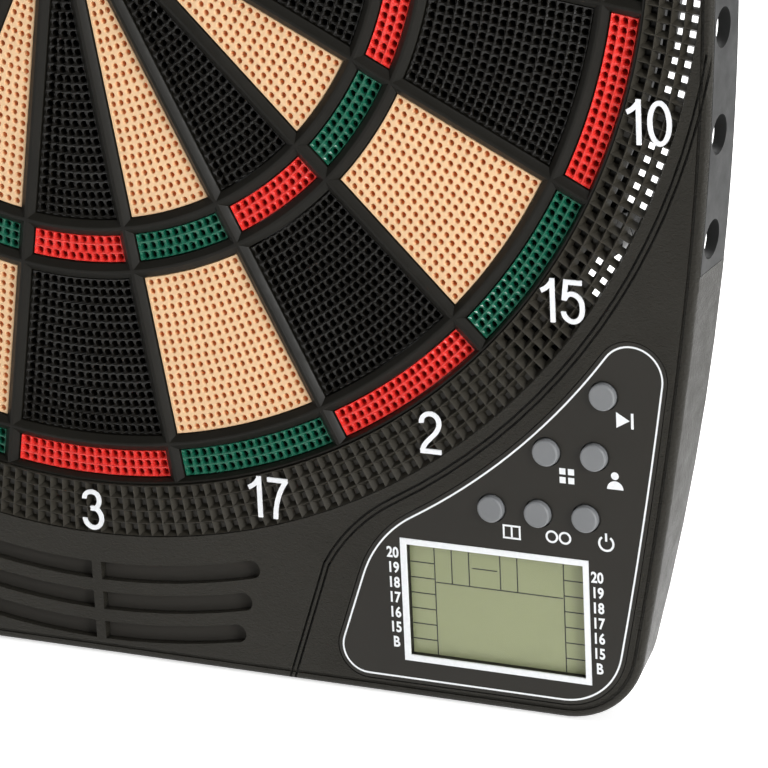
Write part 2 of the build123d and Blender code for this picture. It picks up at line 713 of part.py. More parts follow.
def board_components():
    """Chips and capacitors on the board's back, as separate solids."""
    chips = [((118, -196), (14, 14), 2.0), ((140, -190), (10, 6), 1.6), ((106, -205), (6, 4), 1.4),
             ((136, -206), (8, 4), 1.6), ((150, -200), (4, 4), 1.2), ((128, -179), (7, 4), 1.2)]
    solids = [slab(rect(*size, centre), BOARD_BACK + height, BOARD_BACK) for centre, size, height in chips]
    cans = [(95, -200), (95, -208), (146, -184)]
    solids += [rod(2.5, centre, BOARD_BACK + 5.5, BOARD_BACK) for centre in cans]
    return group(solids)


def board_screws():
    points = BOARD_SCREWS
    return group([screw(p, BOARD_BACK + 1.0, 4.0, head=2.2, shank=0.95) for p in points])


# ---------------------------------------------------------------- speaker

def speaker_frame():
    frame = rod(SPEAKER_RADIUS, SPEAKER_CENTRE, -12.0, -15.2)
    frame -= rod(SPEAKER_RADIUS - 2, SPEAKER_CENTRE, -13.0, -16.0)
    return frame + (rod(7.0, SPEAKER_CENTRE, -10.6, -12.0))


def speaker_cone():
    cone = Plane.XZ.offset(13.1)
    shape = extrude(cone * disc(5.0, SPEAKER_CENTRE), amount=1.8, taper=-45)
    return shape & rod(SPEAKER_RADIUS - 2.2, SPEAKER_CENTRE, -12.0, -16.0)


def speaker_magnet():
    return rod(8.0, SPEAKER_CENTRE, -7.4, -10.6)


def speaker_clamp():
    """A bridge fixed above the grille, with a tongue over the magnet."""
    tongue = rect(12, 21, (0, SPEAKER_SCREWS[0][1] - 10))
    bridge = slab(rect(44, 7, (0, SPEAKER_SCREWS[0][1])) + tongue, -5.9, -7.3)
    for point in SPEAKER_SCREWS:
        bridge += rod(2.9, point, -7.3, -9.9)
        bridge -= rod(1.3, point, -4, -11)
    return bridge


def grille_cloth():
    band = annulus(193.5, 220.4) & rect(110, 60, (0, -205))
    return slab(band, PLATE_BACK + 0.7, PLATE_BACK)


# ---------------------------------------------------------------- batteries

def cell_rows():
    return [BOX_CENTRE[1] + CELL_PITCH * k for k in (-1, 0, 1)]


def battery_box():
    width, height = BOX_SIZE
    box = slab(rect(width, height, BOX_CENTRE), COVER_INSIDE - 0.05, PLATE_BACK + 0.1)
    inner = rect(width - 2 * BOX_WALL, height - 2 * BOX_WALL, BOX_CENTRE)
    return box - slab(inner, 0, CELL_Y - CELL_RADIUS - 0.1)


def batteries():
    """Three AA cells lying along x, each with its raised terminal."""
    solids = []
    for index, z in enumerate(cell_rows()):
        turn = 1 if index % 2 == 0 else -1
        start = Plane(origin=(BOX_CENTRE[0] - turn * (CELL_LENGTH / 2), CELL_Y, z), z_dir=(turn, 0, 0))
        body = extrude(start * Circle(CELL_RADIUS), amount=CELL_LENGTH - 1.2)
        tip = extrude(start.offset(CELL_LENGTH - 1.2) * Circle(2.7), amount=1.2)
        solids.append(body + tip)
    return group(solids)


def battery_contacts():
    """A flat spring plate at each end of each cell."""
    solids = []
    reach = BOX_SIZE[0] / 2 - BOX_WALL
    for z in cell_rows():
        for side in (-1, 1):
            x = BOX_CENTRE[0] + side * (reach - 0.2)
            plate = Pos(x, CELL_Y, z) * Box(0.4, 10, 10)
            solids.append(plate)
    return group(solids)


def hinge_rod(radius, length):
    """A round bar on the battery door's hinge line, centred on the door."""
    x = BOX_CENTRE[0] + BOX_SIZE[0] / 2 - BOX_WALL - DOOR_GAP + HINGE_OFFSET
    return Pos(x, HINGE_Y, BOX_CENTRE[1]) * Cylinder(radius, length)


def battery_door():
    width = BOX_SIZE[0] - 2 * BOX_WALL - 2 * DOOR_GAP
    height = BOX_SIZE[1] - 2 * BOX_WALL - 2 * DOOR_GAP
    door = slab(rect(width, height, BOX_CENTRE), DOOR_BACK, DOOR_FRONT)
    door += hinge_rod(HINGE_BARREL_RADIUS, height)
    door += hinge_rod(HINGE_PIN_RADIUS, height + 2.6)
    for step in range(5):
        x = BOX_CENTRE[0] - width / 2 + 4 + 2.0 * step
        door -= slab(rect(0.8, 16, (x, BOX_CENTRE[1])), DOOR_BACK + 1, DOOR_BACK - 0.5)
    return door


# ---------------------------------------------------------------- export

def build():
    os.makedirs("parts", exist_ok=True)
    save("front_housing", front_housing())
    save("catch_ring", catch_ring())
    save("numerals", numerals())
    save("spider_web", spider_web())
    save("double_red", segments(DOUBLE_RING, 0))
    save("double_green", segments(DOUBLE_RING, 1))
    save("outer_single_black", segments(OUTER_SINGLE_RING, 0))
    save("outer_single_cream", segments(OUTER_SINGLE_RING, 1))
    save("triple_red", segments(TRIPLE_RING, 0))
    save("triple_green", segments(TRIPLE_RING, 1))
    save("inner_single_black", segments(INNER_SINGLE_RING, 0))
    save("inner_single_cream", segments(INNER_SINGLE_RING, 1))
    save("outer_bull", outer_bull())
    save("inner_bull", inner_bull())
    save("dart_holder_right", dart_holder())
    save("dart_holder_left", mirrored(dart_holder()))
    save("foam_mat", sensor_layer(MAT_RADIUS, MAT_BACK, MAT_FRONT))
    save("front_membrane", sensor_layer(MEMBRANE_RADIUS, FRONT_FILM_BACK, MAT_BACK))
    save("membrane_spacer", membrane_spacer())
    save("back_membrane", sensor_layer(MEMBRANE_RADIUS, BACK_FILM_BACK, SPACER_BACK))
    save("membrane_tail", membrane_tail())
    save("backing_plate", sensor_layer(BACKING_RADIUS, BACKING_BACK, BACK_FILM_BACK))
    save("rear_cover", rear_cover())
    save("cover_screws", cover_screws())
    save("control_overlay", control_overlay())
    save("display_bezel", display_bezel())
    save("display_window", display_window())
    save("display_glass", display_glass())
    save("display_holder", display_holder())
    save("display_connector", display_connector())
    for name, centre in BUTTONS.items():
        save(name, button(centre))
    save("keypad", keypad())
    save("main_board", main_board())
    save("board_components", board_components())
    save("board_screws", board_screws())
    save("speaker_frame", speaker_frame())
    save("speaker_cone", speaker_cone())
    save("speaker_magnet", speaker_magnet())
    save("speaker_clamp", speaker_clamp())
    save("grille_cloth", grille_cloth())
    save("battery_box", battery_box())
    save("batteries", batteries())
    save("battery_contacts", battery_contacts())
    save("battery_door", battery_door())


build()
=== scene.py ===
import math

import bmesh
import bpy
from mathutils import Matrix, Vector


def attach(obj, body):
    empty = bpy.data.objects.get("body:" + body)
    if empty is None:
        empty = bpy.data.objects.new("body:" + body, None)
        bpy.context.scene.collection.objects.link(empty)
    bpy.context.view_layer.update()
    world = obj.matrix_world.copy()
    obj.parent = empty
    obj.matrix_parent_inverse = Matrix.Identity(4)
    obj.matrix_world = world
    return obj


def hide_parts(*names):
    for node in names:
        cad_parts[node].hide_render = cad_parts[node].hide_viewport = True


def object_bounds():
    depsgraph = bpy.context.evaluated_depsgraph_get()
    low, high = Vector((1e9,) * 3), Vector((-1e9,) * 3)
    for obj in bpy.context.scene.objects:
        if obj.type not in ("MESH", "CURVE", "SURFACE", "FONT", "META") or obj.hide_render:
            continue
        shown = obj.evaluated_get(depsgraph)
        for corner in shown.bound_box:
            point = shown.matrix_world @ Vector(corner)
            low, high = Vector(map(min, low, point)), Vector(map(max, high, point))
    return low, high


# Electronic dartboard. Row frame: +Z is up, the board faces -Y, the wall is y = 0, and the origin is on
# the axis of the bull. Lengths are millimetres, and become metres where points are stored. Angles are
# degrees, clockwise from the top. The studio at the end is in metres, radians and watts, but its lens and
# sensor are in millimetres.
MM = 0.001

# How close points have to be to count as one, or as lying on one level, in metres
SAME_POINT = 1e-6
SAME_LABEL_POINT = 1e-7
SAME_LEVEL = 1e-5

# Edges that bend by more than this stay sharp in the shading of the web and the catch ring
SHARP_EDGE = 24

# Levels along y
OVERLAY_TOP = -19.0
RING_TOP = -18.6
RING_THROAT = -16.3
RING_BACK = -15.6
WEB_CREST = -17.95
WEB_SHOULDER = -16.7
WEB_LIP_FRONT = -15.4
WEB_BACK = -12.2
SEGMENT_FACE = -16.1
SEGMENT_BACK = -10.6
FLANGE_FRONT = -11.8
GLASS_FRONT = -16.4
BOSS_BACK = -8.9

# Scoring area: inner and outer radius of each ring, and what its segments share. EDGE_INSET and EDGE_DEPTH
# are the bevel round a segment's face, and the next value is the depth below the face where the painted
# shade in its holes starts
SECTORS = 20
SECTOR = 360.0 / SECTORS
DOUBLE = (162.45, 170.0)
OUTER_SINGLE = (112.6, 157.7)
TRIPLE = (100.2, 107.7)
INNER_SINGLE = (22.0, 95.35)
OUTER_BULL = (6.9, 17.2)
INNER_BULL = (1.1, 6.6)
HALF_GAP = 2.45
CLEARANCE = 0.3
FLANGE = 1.2
ROW_PITCH = 2.48
SIDE_MARGIN = 0.3
EDGE_INSET = 0.12
EDGE_DEPTH = 0.15
# Painted shade: from this depth below the face, the segment colour starts turning into the shade colour of
# its holes
HOLE_SHADE_START = 0.12

# Spider web. An opening has ARC_STEPS points along each arc, and one about every SIDE_STEP along its sides
ARC_STEPS = 12
SMALLEST_SIDE_STEPS = 4
SIDE_STEP = 4
SHOULDER_ROUND = 0.18
WEB_INNER_RADIUS = 17.5
WEB_INNER_CREST = (WEB_INNER_RADIUS + INNER_SINGLE[0] - CLEARANCE) / 2
WEB_OUTER_CREST = 171.3
WEB_OUTER_RADIUS = 171.9
WEB_LIP_RADIUS = 176.0

# Side of a bar, from an opening's wall to the crest, as (share of the half width, y)
BAR_PROFILE = (
    (0.0, WEB_SHOULDER + SHOULDER_ROUND),
    (0.07, WEB_SHOULDER),
    (0.66, -17.62),
    (0.80, -17.86),
    (1.0, WEB_CREST),
)

# Outer and inner edge of the whole web, as (radius, y)
WEB_OUTER_PROFILE = (
    (WEB_OUTER_CREST, WEB_CREST),
    (171.6, -17.88),
    (WEB_OUTER_RADIUS, -17.6),
    (WEB_OUTER_RADIUS, WEB_LIP_FRONT),
    (WEB_LIP_RADIUS, WEB_LIP_FRONT),
    (WEB_LIP_RADIUS, WEB_BACK),
    (WEB_OUTER_CREST, WEB_BACK),
)
WEB_INNER_PROFILE = (
    (WEB_INNER_CREST, WEB_CREST),
    (WEB_INNER_CREST - 0.5, -17.86),
    (WEB_INNER_RADIUS + 0.15, WEB_SHOULDER),
    (WEB_INNER_RADIUS, WEB_SHOULDER + SHOULDER_ROUND),
    (WEB_INNER_RADIUS, WEB_BACK),
    (WEB_INNER_CREST, WEB_BACK),
)

# Catch ring. Its columns count once round, and the angle is half the stretch of closed cells at the bottom
RING_ROWS = 4
RING_INNER = 172.1
RING_PITCH = 3.66
RING_COLUMNS = 288
RIB = 0.10
THROAT_SIZE = 1.6
BACK_SIZE = 2.3
CLOSED_HALF_ANGLE = 47.0
ORDER = (20, 1, 18, 4, 13, 6, 10, 15, 2, 17, 3, 19, 7, 16, 8, 11, 14, 9, 12, 5)
NUMERAL_RADIUS = 180.0
DIGIT_HALF_WIDTH = 3.9
DIGIT_HALF_HEIGHT = 5.6
BOSS_RING = 180.5
BOSS_RADIUS = 4.2
BOSS_HOLE = 1.3
BOSS_SIDES = 32
BOSS_GAP = 0.02
BOSS_ANGLES = (0, 60, 119.5, 240.5, 300)

# Printing on the control panel. INK is its thickness
INK = 0.05
LINE_INSET = 1.3
LINE_WIDTH = 0.5
LINE_STEP = 1.2
LABELS = ("20", "19", "18", "17", "16", "15", "B")
LABEL_COLUMNS = (92.9, 152.8)
LABEL_TOP = -181.5
LABEL_STEP = 4.37
LABEL_HEIGHT = 2.9
LABEL_NARROWING = 0.84
LABEL_BOLDNESS = 0.12
LABEL_CURVE_STEPS = 3

# Height of a digit as a share of the size of its font
DIGIT_SHARE = 0.68

# Display: its left, right, bottom and top, and the lines on it
DISPLAY = (96.9, 148.7, -211.0, -178.6)
DISPLAY_RULES = (104.1, 142.0)
TICK_TOP = -184.4
TICK_STEP = 4.5
TICKS = 6
BOX_LINE = -189.7
BOX_RULES = (109.2, 114.3, 123.5, 128.5)
HALF_BOX = (115.2, 122.6, -184.3)
HAIR = 0.34

# Middle of each button, as (x, z), and where its symbol stands beside it
BUTTONS = {
    "start_button": (156.1, -130.0),
    "game_button": (139.4, -147.3),
    "player_button": (153.1, -147.2),
    "display_button": (122.9, -165.1),
    "double_button": (136.4, -165.0),
    "power_button": (150.1, -164.8),
}
MARK_SHIFT = (5.6, -6.2)
MARK_SCALE = 1.45

# Reach of the painted shade, from ambient occlusion, in the crease lines and grooves of moulded plastic
CREASE_SHADE_REACH = 1.5

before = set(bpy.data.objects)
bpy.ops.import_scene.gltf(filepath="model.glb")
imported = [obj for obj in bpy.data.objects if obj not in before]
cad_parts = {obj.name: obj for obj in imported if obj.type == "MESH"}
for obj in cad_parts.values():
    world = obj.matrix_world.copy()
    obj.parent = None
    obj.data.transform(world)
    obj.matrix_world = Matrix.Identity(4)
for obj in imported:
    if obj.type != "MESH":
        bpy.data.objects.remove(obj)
cad_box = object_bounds()


# ---------------------------------------------------------------- geometry helpers

class Shell:
    """The points and faces of one piece."""

    def __init__(self):
        self.points = []
        self.faces = []

    def add(self, x, y, z):
        self.points.append((x * MM, y * MM, z * MM))
        return len(self.points) - 1

    def loop(self, flat, y):
        """Adds a row of points, given as (x, z) pairs, at one level."""
        return [self.add(x, y, z) for x, z in flat]

    def face(self, *corners):
        """Adds one face. A corner given twice in a row counts once."""
        kept = [c for c, before in zip(corners, corners[-1:] + corners[:-1]) if c != before]
        if len(kept) > 2:
            self.faces.append(tuple(kept))

    def bridge(self, first, second, closed=True):
        """Joins two rows with the same number of points."""
        count = len(first)
        for k in range(count if closed else count - 1):
            n = (k + 1) % count
            self.face(first[k], first[n], second[n], second[k])

    def zip_rows(self, first, second):
        """Joins two open rows with different numbers of points by triangles."""
        a = 0
        b = 0
        last_a = len(first) - 1
        last_b = len(second) - 1
        while a < last_a or b < last_b:
            if b == last_b or (a < last_a and (a + 1) * last_b <= (b + 1) * last_a):
                self.face(first[a], first[a + 1], second[b])
                a += 1
            else:
                self.face(first[a], second[b + 1], second[b])
                b += 1

    def lathe(self, profile, angles):
        """Turns an open profile of (radius, y) points about the axis of the bull."""
        rows = [self.loop([on_circle(r, a) for a in angles], y) for r, y in profile]
        for first, second in zip(rows, rows[1:]):
            self.bridge(first, second)

    def prism(self, flat, back, front):
        """A closed flat outline, thickened."""
        top = self.loop(flat, front)
        bottom = self.loop(flat, back)
        self.bridge(top, bottom)
        self.face(*top)
        self.face(*reversed(bottom))

    def band(self, outer, inner, back, front):
        """The area between two closed outlines, thickened."""
        corners = ((outer, back), (outer, front), (inner, front), (inner, back))
        rows = [self.loop(flat, y) for flat, y in corners]
        for k in range(4):
            self.bridge(rows[k], rows[(k + 1) % 4])

    def make(self, name, body, slot, material, *replaced, crease=None):
        """Stores the piece. With a crease angle, edges flatter than it are shaded smooth."""
        mesh = bpy.data.meshes.new(name)
        mesh.from_pydata(self.points, [], self.faces)
        mesh.update()
        work = bmesh.new()
        work.from_mesh(mesh)
        bmesh.ops.remove_doubles(work, verts=work.verts, dist=SAME_POINT)
        bmesh.ops.recalc_face_normals(work, faces=work.faces)
        work.to_mesh(mesh)
        work.free()
        if crease is not None:
            for polygon in mesh.polygons:
                polygon.use_smooth = True
            mesh.set_sharp_from_angle(angle=math.radians(crease))
        mesh.materials.append(material)
        piece = bpy.data.objects.new(name, mesh)
        bpy.context.scene.collection.objects.link(piece)
        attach(piece, body)
        if replaced:
            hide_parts(*replaced)
        return piece


def on_circle(radius, angle):
    """A point on a circle about the bull. Angles run clockwise from the top."""
    a = math.radians(angle)
    return radius * math.sin(a), radius * math.cos(a)


def spread(start, end, count):
    """Evenly spaced values from start to end, count steps."""
    return [start + (end - start) * k / count for k in range(count + 1)]


def round_turn(count):
    """Evenly spaced angles once round."""
    return [360.0 * k / count for k in range(count)]


def arc(centre, radius, angles):
    """Points on a circle of its own, at the given angles."""
    turned = [on_circle(radius, a) for a in angles]
    return [(centre[0] + x, centre[1] + z) for x, z in turned]


def circle(radius, centre, count=24):
    return arc(centre, radius, round_turn(count))


# ---------------------------------------------------------------- materials

def new_material(name):
    """A material with its nodes and links."""
    material = bpy.data.materials.new(name)
    material.use_nodes = True
    return material, material.node_tree.nodes, material.node_tree.links


def texture(nodes, links, kind, scale, **settings):
    """A procedural texture on the piece's own coordinates, which are metres."""
    coordinate = nodes.new("ShaderNodeTexCoord")
    node = nodes.new(kind)
    node.inputs["Scale"].default_value = scale
    for key, value in settings.items():
        node.inputs[key].default_value = value
    links.new(coordinate.outputs["Object"], node.inputs["Vector"])
    return node


def ranged(nodes, links, source, low, high, from_low=0.3, from_high=0.7):
    """Maps a value from one range to another, held at both ends."""
    node = nodes.new("ShaderNodeMapRange")
    node.inputs["From Min"].default_value = from_low
    node.inputs["From Max"].default_value = from_high
    node.inputs["To Min"].default_value = low
    node.inputs["To Max"].default_value = high
    links.new(source, node.inputs["Value"])
    return node.outputs["Result"]


def mixed(nodes, links, factor, first, second):
    """Mixes two colours. Each is a colour or another node's output."""
    node = nodes.new("ShaderNodeMix")
    node.data_type = "RGBA"
    links.new(factor, node.inputs["Factor"])
    for socket, value in ((node.inputs[6], first), (node.inputs[7], second)):
        if isinstance(value, tuple):
            socket.default_value = (*value, 1.0)
        else:
            links.new(value, socket)
    return node.outputs[2]


def bumped(nodes, links, shader, height, strength, depth_mm):
    """Makes a height into a bump on the shader."""
    bump = nodes.new("ShaderNodeBump")
    bump.inputs["Strength"].default_value = strength
    bump.inputs["Distance"].default_value = depth_mm * MM
    links.new(height, bump.inputs["Height"])
    links.new(bump.outputs["Normal"], shader.inputs["Normal"])


def leather(nodes, links, size_mm, streak):
    """A wavy leather-like grain, longer along x than along z. Returns its height."""
    coordinate = nodes.new("ShaderNodeTexCoord")
    stretch = nodes.new("ShaderNodeMapping")
    stretch.inputs["Scale"].default_value = (1.0, 1.0, streak)
    grain = nodes.new("ShaderNodeTexNoise")
    grain.inputs["Scale"].default_value = 1.0 / (size_mm * MM)
    grain.inputs["Detail"].default_value = 2.5
    grain.inputs["Roughness"].default_value = 0.55
    grain.inputs["Distortion"].default_value = 0.9
    links.new(coordinate.outputs["Object"], stretch.inputs["Vector"])
    links.new(stretch.outputs["Vector"], grain.inputs["Vector"])
    return grain.outputs["Fac"]


def plastic(name, colour, worn, roughness, grain_mm=0.5, grain=0.25, grain_depth=0.06,
            specular=0.5, streak=1.0, crease_shade=0.0, rubbed=True):
    """Moulded plastic: blotchy tone, uneven gloss and a leather-like grain. Rubbed edges are lighter, and
    where it is asked for, painted shade from ambient occlusion darkens every crease and groove."""
    material, nodes, links = new_material(name)
    shader = nodes["Principled BSDF"]
    shader.inputs["Specular IOR Level"].default_value = specular
    blotch = texture(nodes, links, "ShaderNodeTexNoise", 45.0, Detail=5.0, Roughness=0.6)
    tone = mixed(nodes, links, ranged(nodes, links, blotch.outputs["Fac"], 0.0, 0.35), colour, worn)
    if rubbed:
        geometry = nodes.new("ShaderNodeNewGeometry")
        rub = ranged(nodes, links, geometry.outputs["Pointiness"], 0.0, 0.6, from_low=0.52, from_high=0.6)
        tone = mixed(nodes, links, rub, tone, worn)
    # Painted shade: ambient occlusion darkens the colour in every crease, seam and groove
    if crease_shade:
        hollow = nodes.new("ShaderNodeAmbientOcclusion")
        hollow.samples = 6
        hollow.inputs["Distance"].default_value = CREASE_SHADE_REACH * MM
        dark = tuple(channel * (1.0 - crease_shade) for channel in colour)
        openness = ranged(nodes, links, hollow.outputs["AO"], 0.0, 1.0, from_low=0.35, from_high=0.85)
        tone = mixed(nodes, links, openness, dark, tone)
    links.new(tone, shader.inputs["Base Color"])
    scuff = texture(nodes, links, "ShaderNodeTexNoise", 160.0, Detail=6.0, Roughness=0.65)
    gloss = ranged(nodes, links, scuff.outputs["Fac"], roughness - 0.06, roughness + 0.08)
    links.new(gloss, shader.inputs["Roughness"])
    bumped(nodes, links, shader, leather(nodes, links, grain_mm, streak), grain, grain_depth)
    return material


def segment_plastic(name, colour, hole_shade, roughness, gloss=0.5, shade_depth=2.2):
    """Segment plastic: down its holes, painted shade turns its colour into the given hole colour, fully at
    the given depth in millimetres below the face.
    """
    material, nodes, links = new_material(name)
    shader = nodes["Principled BSDF"]
    shader.inputs["Specular IOR Level"].default_value = gloss
    coordinate = nodes.new("ShaderNodeTexCoord")
    split = nodes.new("ShaderNodeSeparateXYZ")
    links.new(coordinate.outputs["Object"], split.inputs["Vector"])
    # Painted shade: the colour is mixed towards the hole colour as the depth below the face grows
    start = (SEGMENT_FACE + HOLE_SHADE_START) * MM
    end = (SEGMENT_FACE + shade_depth) * MM
    depth = ranged(nodes, links, split.outputs["Y"], 0.0, 1.0, from_low=start, from_high=end)
    blotch = texture(nodes, links, "ShaderNodeTexNoise", 60.0, Detail=4.0, Roughness=0.55)
    dusty = tuple(min(1.0, channel * 1.08 + 0.004) for channel in colour)
    tone = mixed(nodes, links, ranged(nodes, links, blotch.outputs["Fac"], 0.0, 0.7), colour, dusty)
    links.new(mixed(nodes, links, depth, tone, hole_shade), shader.inputs["Base Color"])
    scuff = texture(nodes, links, "ShaderNodeTexNoise", 400.0, Detail=5.0, Roughness=0.6)
    gloss_map = ranged(nodes, links, scuff.outputs["Fac"], roughness - 0.07, roughness + 0.09)
    links.new(gloss_map, shader.inputs["Roughness"])
    bumped(nodes, links, shader, scuff.outputs["Fac"], 0.3, 0.03)
    return material


def print_ink(name, colour, roughness):
    """Screen-printed ink: nearly flat colour with a faint mottle."""
    material, nodes, links = new_material(name)
    shader = nodes["Principled BSDF"]
    mottle = texture(nodes, links, "ShaderNodeTexNoise", 900.0, Detail=4.0, Roughness=0.7)
    darker = tuple(channel * 0.9 for channel in colour)
    links.new(mixed(nodes, links, ranged(nodes, links, mottle.outputs["Fac"], 0.0, 1.0), darker, colour),
              shader.inputs["Base Color"])
    gloss = ranged(nodes, links, mottle.outputs["Fac"], roughness - 0.05, roughness + 0.1)
    links.new(gloss, shader.inputs["Roughness"])
    bumped(nodes, links, shader, mottle.outputs["Fac"], 0.2, 0.02)
    return material


def display_surface():
    """Grey-green liquid crystal: faint vertical banding over an even ground."""
    material, nodes, links = new_material("display_green")
    shader = nodes["Principled BSDF"]
    wave = texture(nodes, links, "ShaderNodeTexWave", 260.0, Distortion=0.4)
    wave.bands_direction = "X"
    cloud = texture(nodes, links, "ShaderNodeTexNoise", 30.0, Detail=3.0)
    drift = ranged(nodes, links, cloud.outputs["Fac"], 0.0, 1.0)
    ground = mixed(nodes, links, drift, (0.297, 0.324, 0.164), (0.330, 0.357, 0.186))
    stripe = ranged(nodes, links, wave.outputs["Fac"], 0.0, 0.07, from_low=0.0, from_high=1.0)
    links.new(mixed(nodes, links, stripe, ground, (0.260, 0.284, 0.139)), shader.inputs["Base Color"])
    links.new(ranged(nodes, links, cloud.outputs["Fac"], 0.30, 0.38), shader.inputs["Roughness"])
    return material


def clear_plastic(name, tint, alpha, roughness):
    """Thin clear sheet with light scuffs."""
    material, nodes, links = new_material(name)
    shader = nodes["Principled BSDF"]
    shader.inputs["Base Color"].default_value = (*tint, 1.0)
    shader.inputs["Alpha"].default_value = alpha
    scuff = texture(nodes, links, "ShaderNodeTexNoise", 220.0, Detail=6.0)
    gloss = ranged(nodes, links, scuff.outputs["Fac"], roughness, roughness + 0.12)
    links.new(gloss, shader.inputs["Roughness"])
    return material


def metal(name, colour, roughness):
    """Dull plated steel, finely mottled."""
    material, nodes, links = new_material(name)
    shader = nodes["Principled BSDF"]
    shader.inputs["Metallic"].default_value = 1.0
    mottle = texture(nodes, links, "ShaderNodeTexNoise", 1500.0, Detail=6.0, Roughness=0.7)
    dull = tuple(channel * 0.75 for channel in colour)
    links.new(mixed(nodes, links, ranged(nodes, links, mottle.outputs["Fac"], 0.0, 1.0), dull, colour),
              shader.inputs["Base Color"])
    gloss = ranged(nodes, links, mottle.outputs["Fac"], roughness - 0.08, roughness + 0.12)
    links.new(gloss, shader.inputs["Roughness"])
    bumped(nodes, links, shader, mottle.outputs["Fac"], 0.15, 0.02)
    return material


def fibrous(name, colour, other, scale, roughness, depth_mm):
    """Foam, cloth, paper or board: two mixed tones and a soft rough surface."""
    material, nodes, links = new_material(name)
    shader = nodes["Principled BSDF"]
    fibre = texture(nodes, links, "ShaderNodeTexNoise", scale, Detail=7.0, Roughness=0.75)
    links.new(mixed(nodes, links, ranged(nodes, links, fibre.outputs["Fac"], 0.0, 1.0), colour, other),
              shader.inputs["Base Color"])
    gloss = ranged(nodes, links, fibre.outputs["Fac"], roughness - 0.1, roughness + 0.05)
    links.new(gloss, shader.inputs["Roughness"])
    bumped(nodes, links, shader, fibre.outputs["Fac"], 0.6, depth_mm)
    return material


def moulded_materials():
    """The housing, the parts in it, and the electronics."""
    return [
        plastic("housing_plastic", (0.0172, 0.0156, 0.0118), (0.027, 0.025, 0.020), 0.44,
                grain_mm=1.1, grain=1.0, grain_depth=0.34, specular=0.19, streak=1.8, crease_shade=0.75),
        plastic("web_plastic", (0.0078, 0.0071, 0.0052), (0.016, 0.0148, 0.0118), 0.38,
                grain_mm=0.6, grain=0.3, grain_depth=0.05, specular=0.15),
        plastic("ring_plastic", (0.032, 0.0286, 0.0214), (0.046, 0.042, 0.0335), 0.40,
                grain_mm=0.6, grain=0.3, grain_depth=0.05, specular=0.34),
        plastic("rear_plastic", (0.0095, 0.0092, 0.0082), (0.021, 0.020, 0.018), 0.52,
                grain_mm=1.5, grain=1.0, grain_depth=0.34, specular=0.32, crease_shade=0.75, rubbed=False),
        plastic("holder_plastic", (0.012, 0.0122, 0.012), (0.022, 0.0225, 0.022), 0.50,
                grain_mm=0.3, grain=0.12, grain_depth=0.03, specular=0.14),
        plastic("button_grey", (0.160, 0.166, 0.172), (0.235, 0.242, 0.248), 0.5,
                grain_mm=0.3, grain=0.1, grain_depth=0.02),
        plastic("overlay_film", (0.0125, 0.0110, 0.0080), (0.019, 0.017, 0.013), 0.34,
                grain_mm=0.3, grain=0.12, grain_depth=0.012, specular=0.30),
        plastic("white_plastic", (0.72, 0.72, 0.70), (0.82, 0.82, 0.80), 0.42,
                grain_mm=0.3, grain=0.08, grain_depth=0.02),
        plastic("circuit_board", (0.02, 0.13, 0.045), (0.04, 0.19, 0.07), 0.35,
                grain_mm=0.25, grain=0.1, grain_depth=0.02),
        plastic("component_black", (0.02, 0.02, 0.02), (0.04, 0.04, 0.04), 0.5,
                grain_mm=0.2, grain=0.2, grain_depth=0.03),
        plastic("battery_wrap", (0.20, 0.21, 0.23), (0.30, 0.31, 0.33), 0.3,
                grain_mm=0.25, grain=0.05, grain_depth=0.01),
    ]


def segment_materials():
    """The four segment colours, each with the colour of the painted shade down its holes."""
    return [
        segment_plastic("segment_red", (0.76, 0.036, 0.027), (0.42, 0.008, 0.006),
                        roughness=0.22, gloss=0.6, shade_depth=3.0),
        segment_plastic("segment_green", (0.006, 0.118, 0.066), (0.001, 0.022, 0.012),
                        roughness=0.24, gloss=0.6, shade_depth=2.6),
        segment_plastic("segment_black", (0.0048, 0.0040, 0.0026), (0.0005, 0.0005, 0.0005),
                        roughness=0.14, gloss=0.30),
        # For cream, the hole colour is painted shade together with the saturated orange of painted light
        # bounced inside the holes
        segment_plastic("segment_cream", (0.77, 0.515, 0.295), (0.98, 0.45, 0.18),
                        roughness=0.50, gloss=0.3, shade_depth=1.9),
    ]


def other_materials():
    """Inks, clear sheets, the display, cloth, foam, board, rubber and metal."""
    return [
        print_ink("numeral_white", (0.86, 0.88, 0.90), 0.45),
        print_ink("display_line", (0.012, 0.014, 0.008), 0.5),
        clear_plastic("clear_window", (0.25, 0.26, 0.25), alpha=0.06, roughness=0.08),
        clear_plastic("clear_film", (0.70, 0.70, 0.62), alpha=0.5, roughness=0.2),
        display_surface(),
        fibrous("grille_cloth", (0.014, 0.012, 0.0085), (0.026, 0.023, 0.018), 2600.0, 0.9, depth_mm=0.08),
        fibrous("foam", (0.03, 0.03, 0.03), (0.07, 0.07, 0.07), 1800.0, 0.9, depth_mm=0.12),
        fibrous("backing_board", (0.15, 0.11, 0.075), (0.24, 0.18, 0.125), 500.0, 0.85, depth_mm=0.05),
        fibrous("keypad_rubber", (0.30, 0.30, 0.31), (0.38, 0.38, 0.39), 700.0, 0.7, depth_mm=0.02),
        fibrous("cone_paper", (0.05, 0.05, 0.048), (0.10, 0.10, 0.095), 1200.0, 0.85, depth_mm=0.05),
        metal("screw_steel", (0.33, 0.33, 0.32), 0.42),
    ]


def plain_name(material):
    """A material's name without the number that Blender adds to a name already in use."""
    return material.name.split(".")[0]


MADE = moulded_materials() + segment_materials() + other_materials()
MATERIALS = {plain_name(material): material for material in MADE}

# Each CAD node takes the material that its slot names. The cloth behind the grille has one of its own
for name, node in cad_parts.items():
    for place in node.material_slots:
        look = name if name == "grille_cloth" else plain_name(place.material)
        place.material = MATERIALS[look]


# ---------------------------------------------------------------- perforated segments

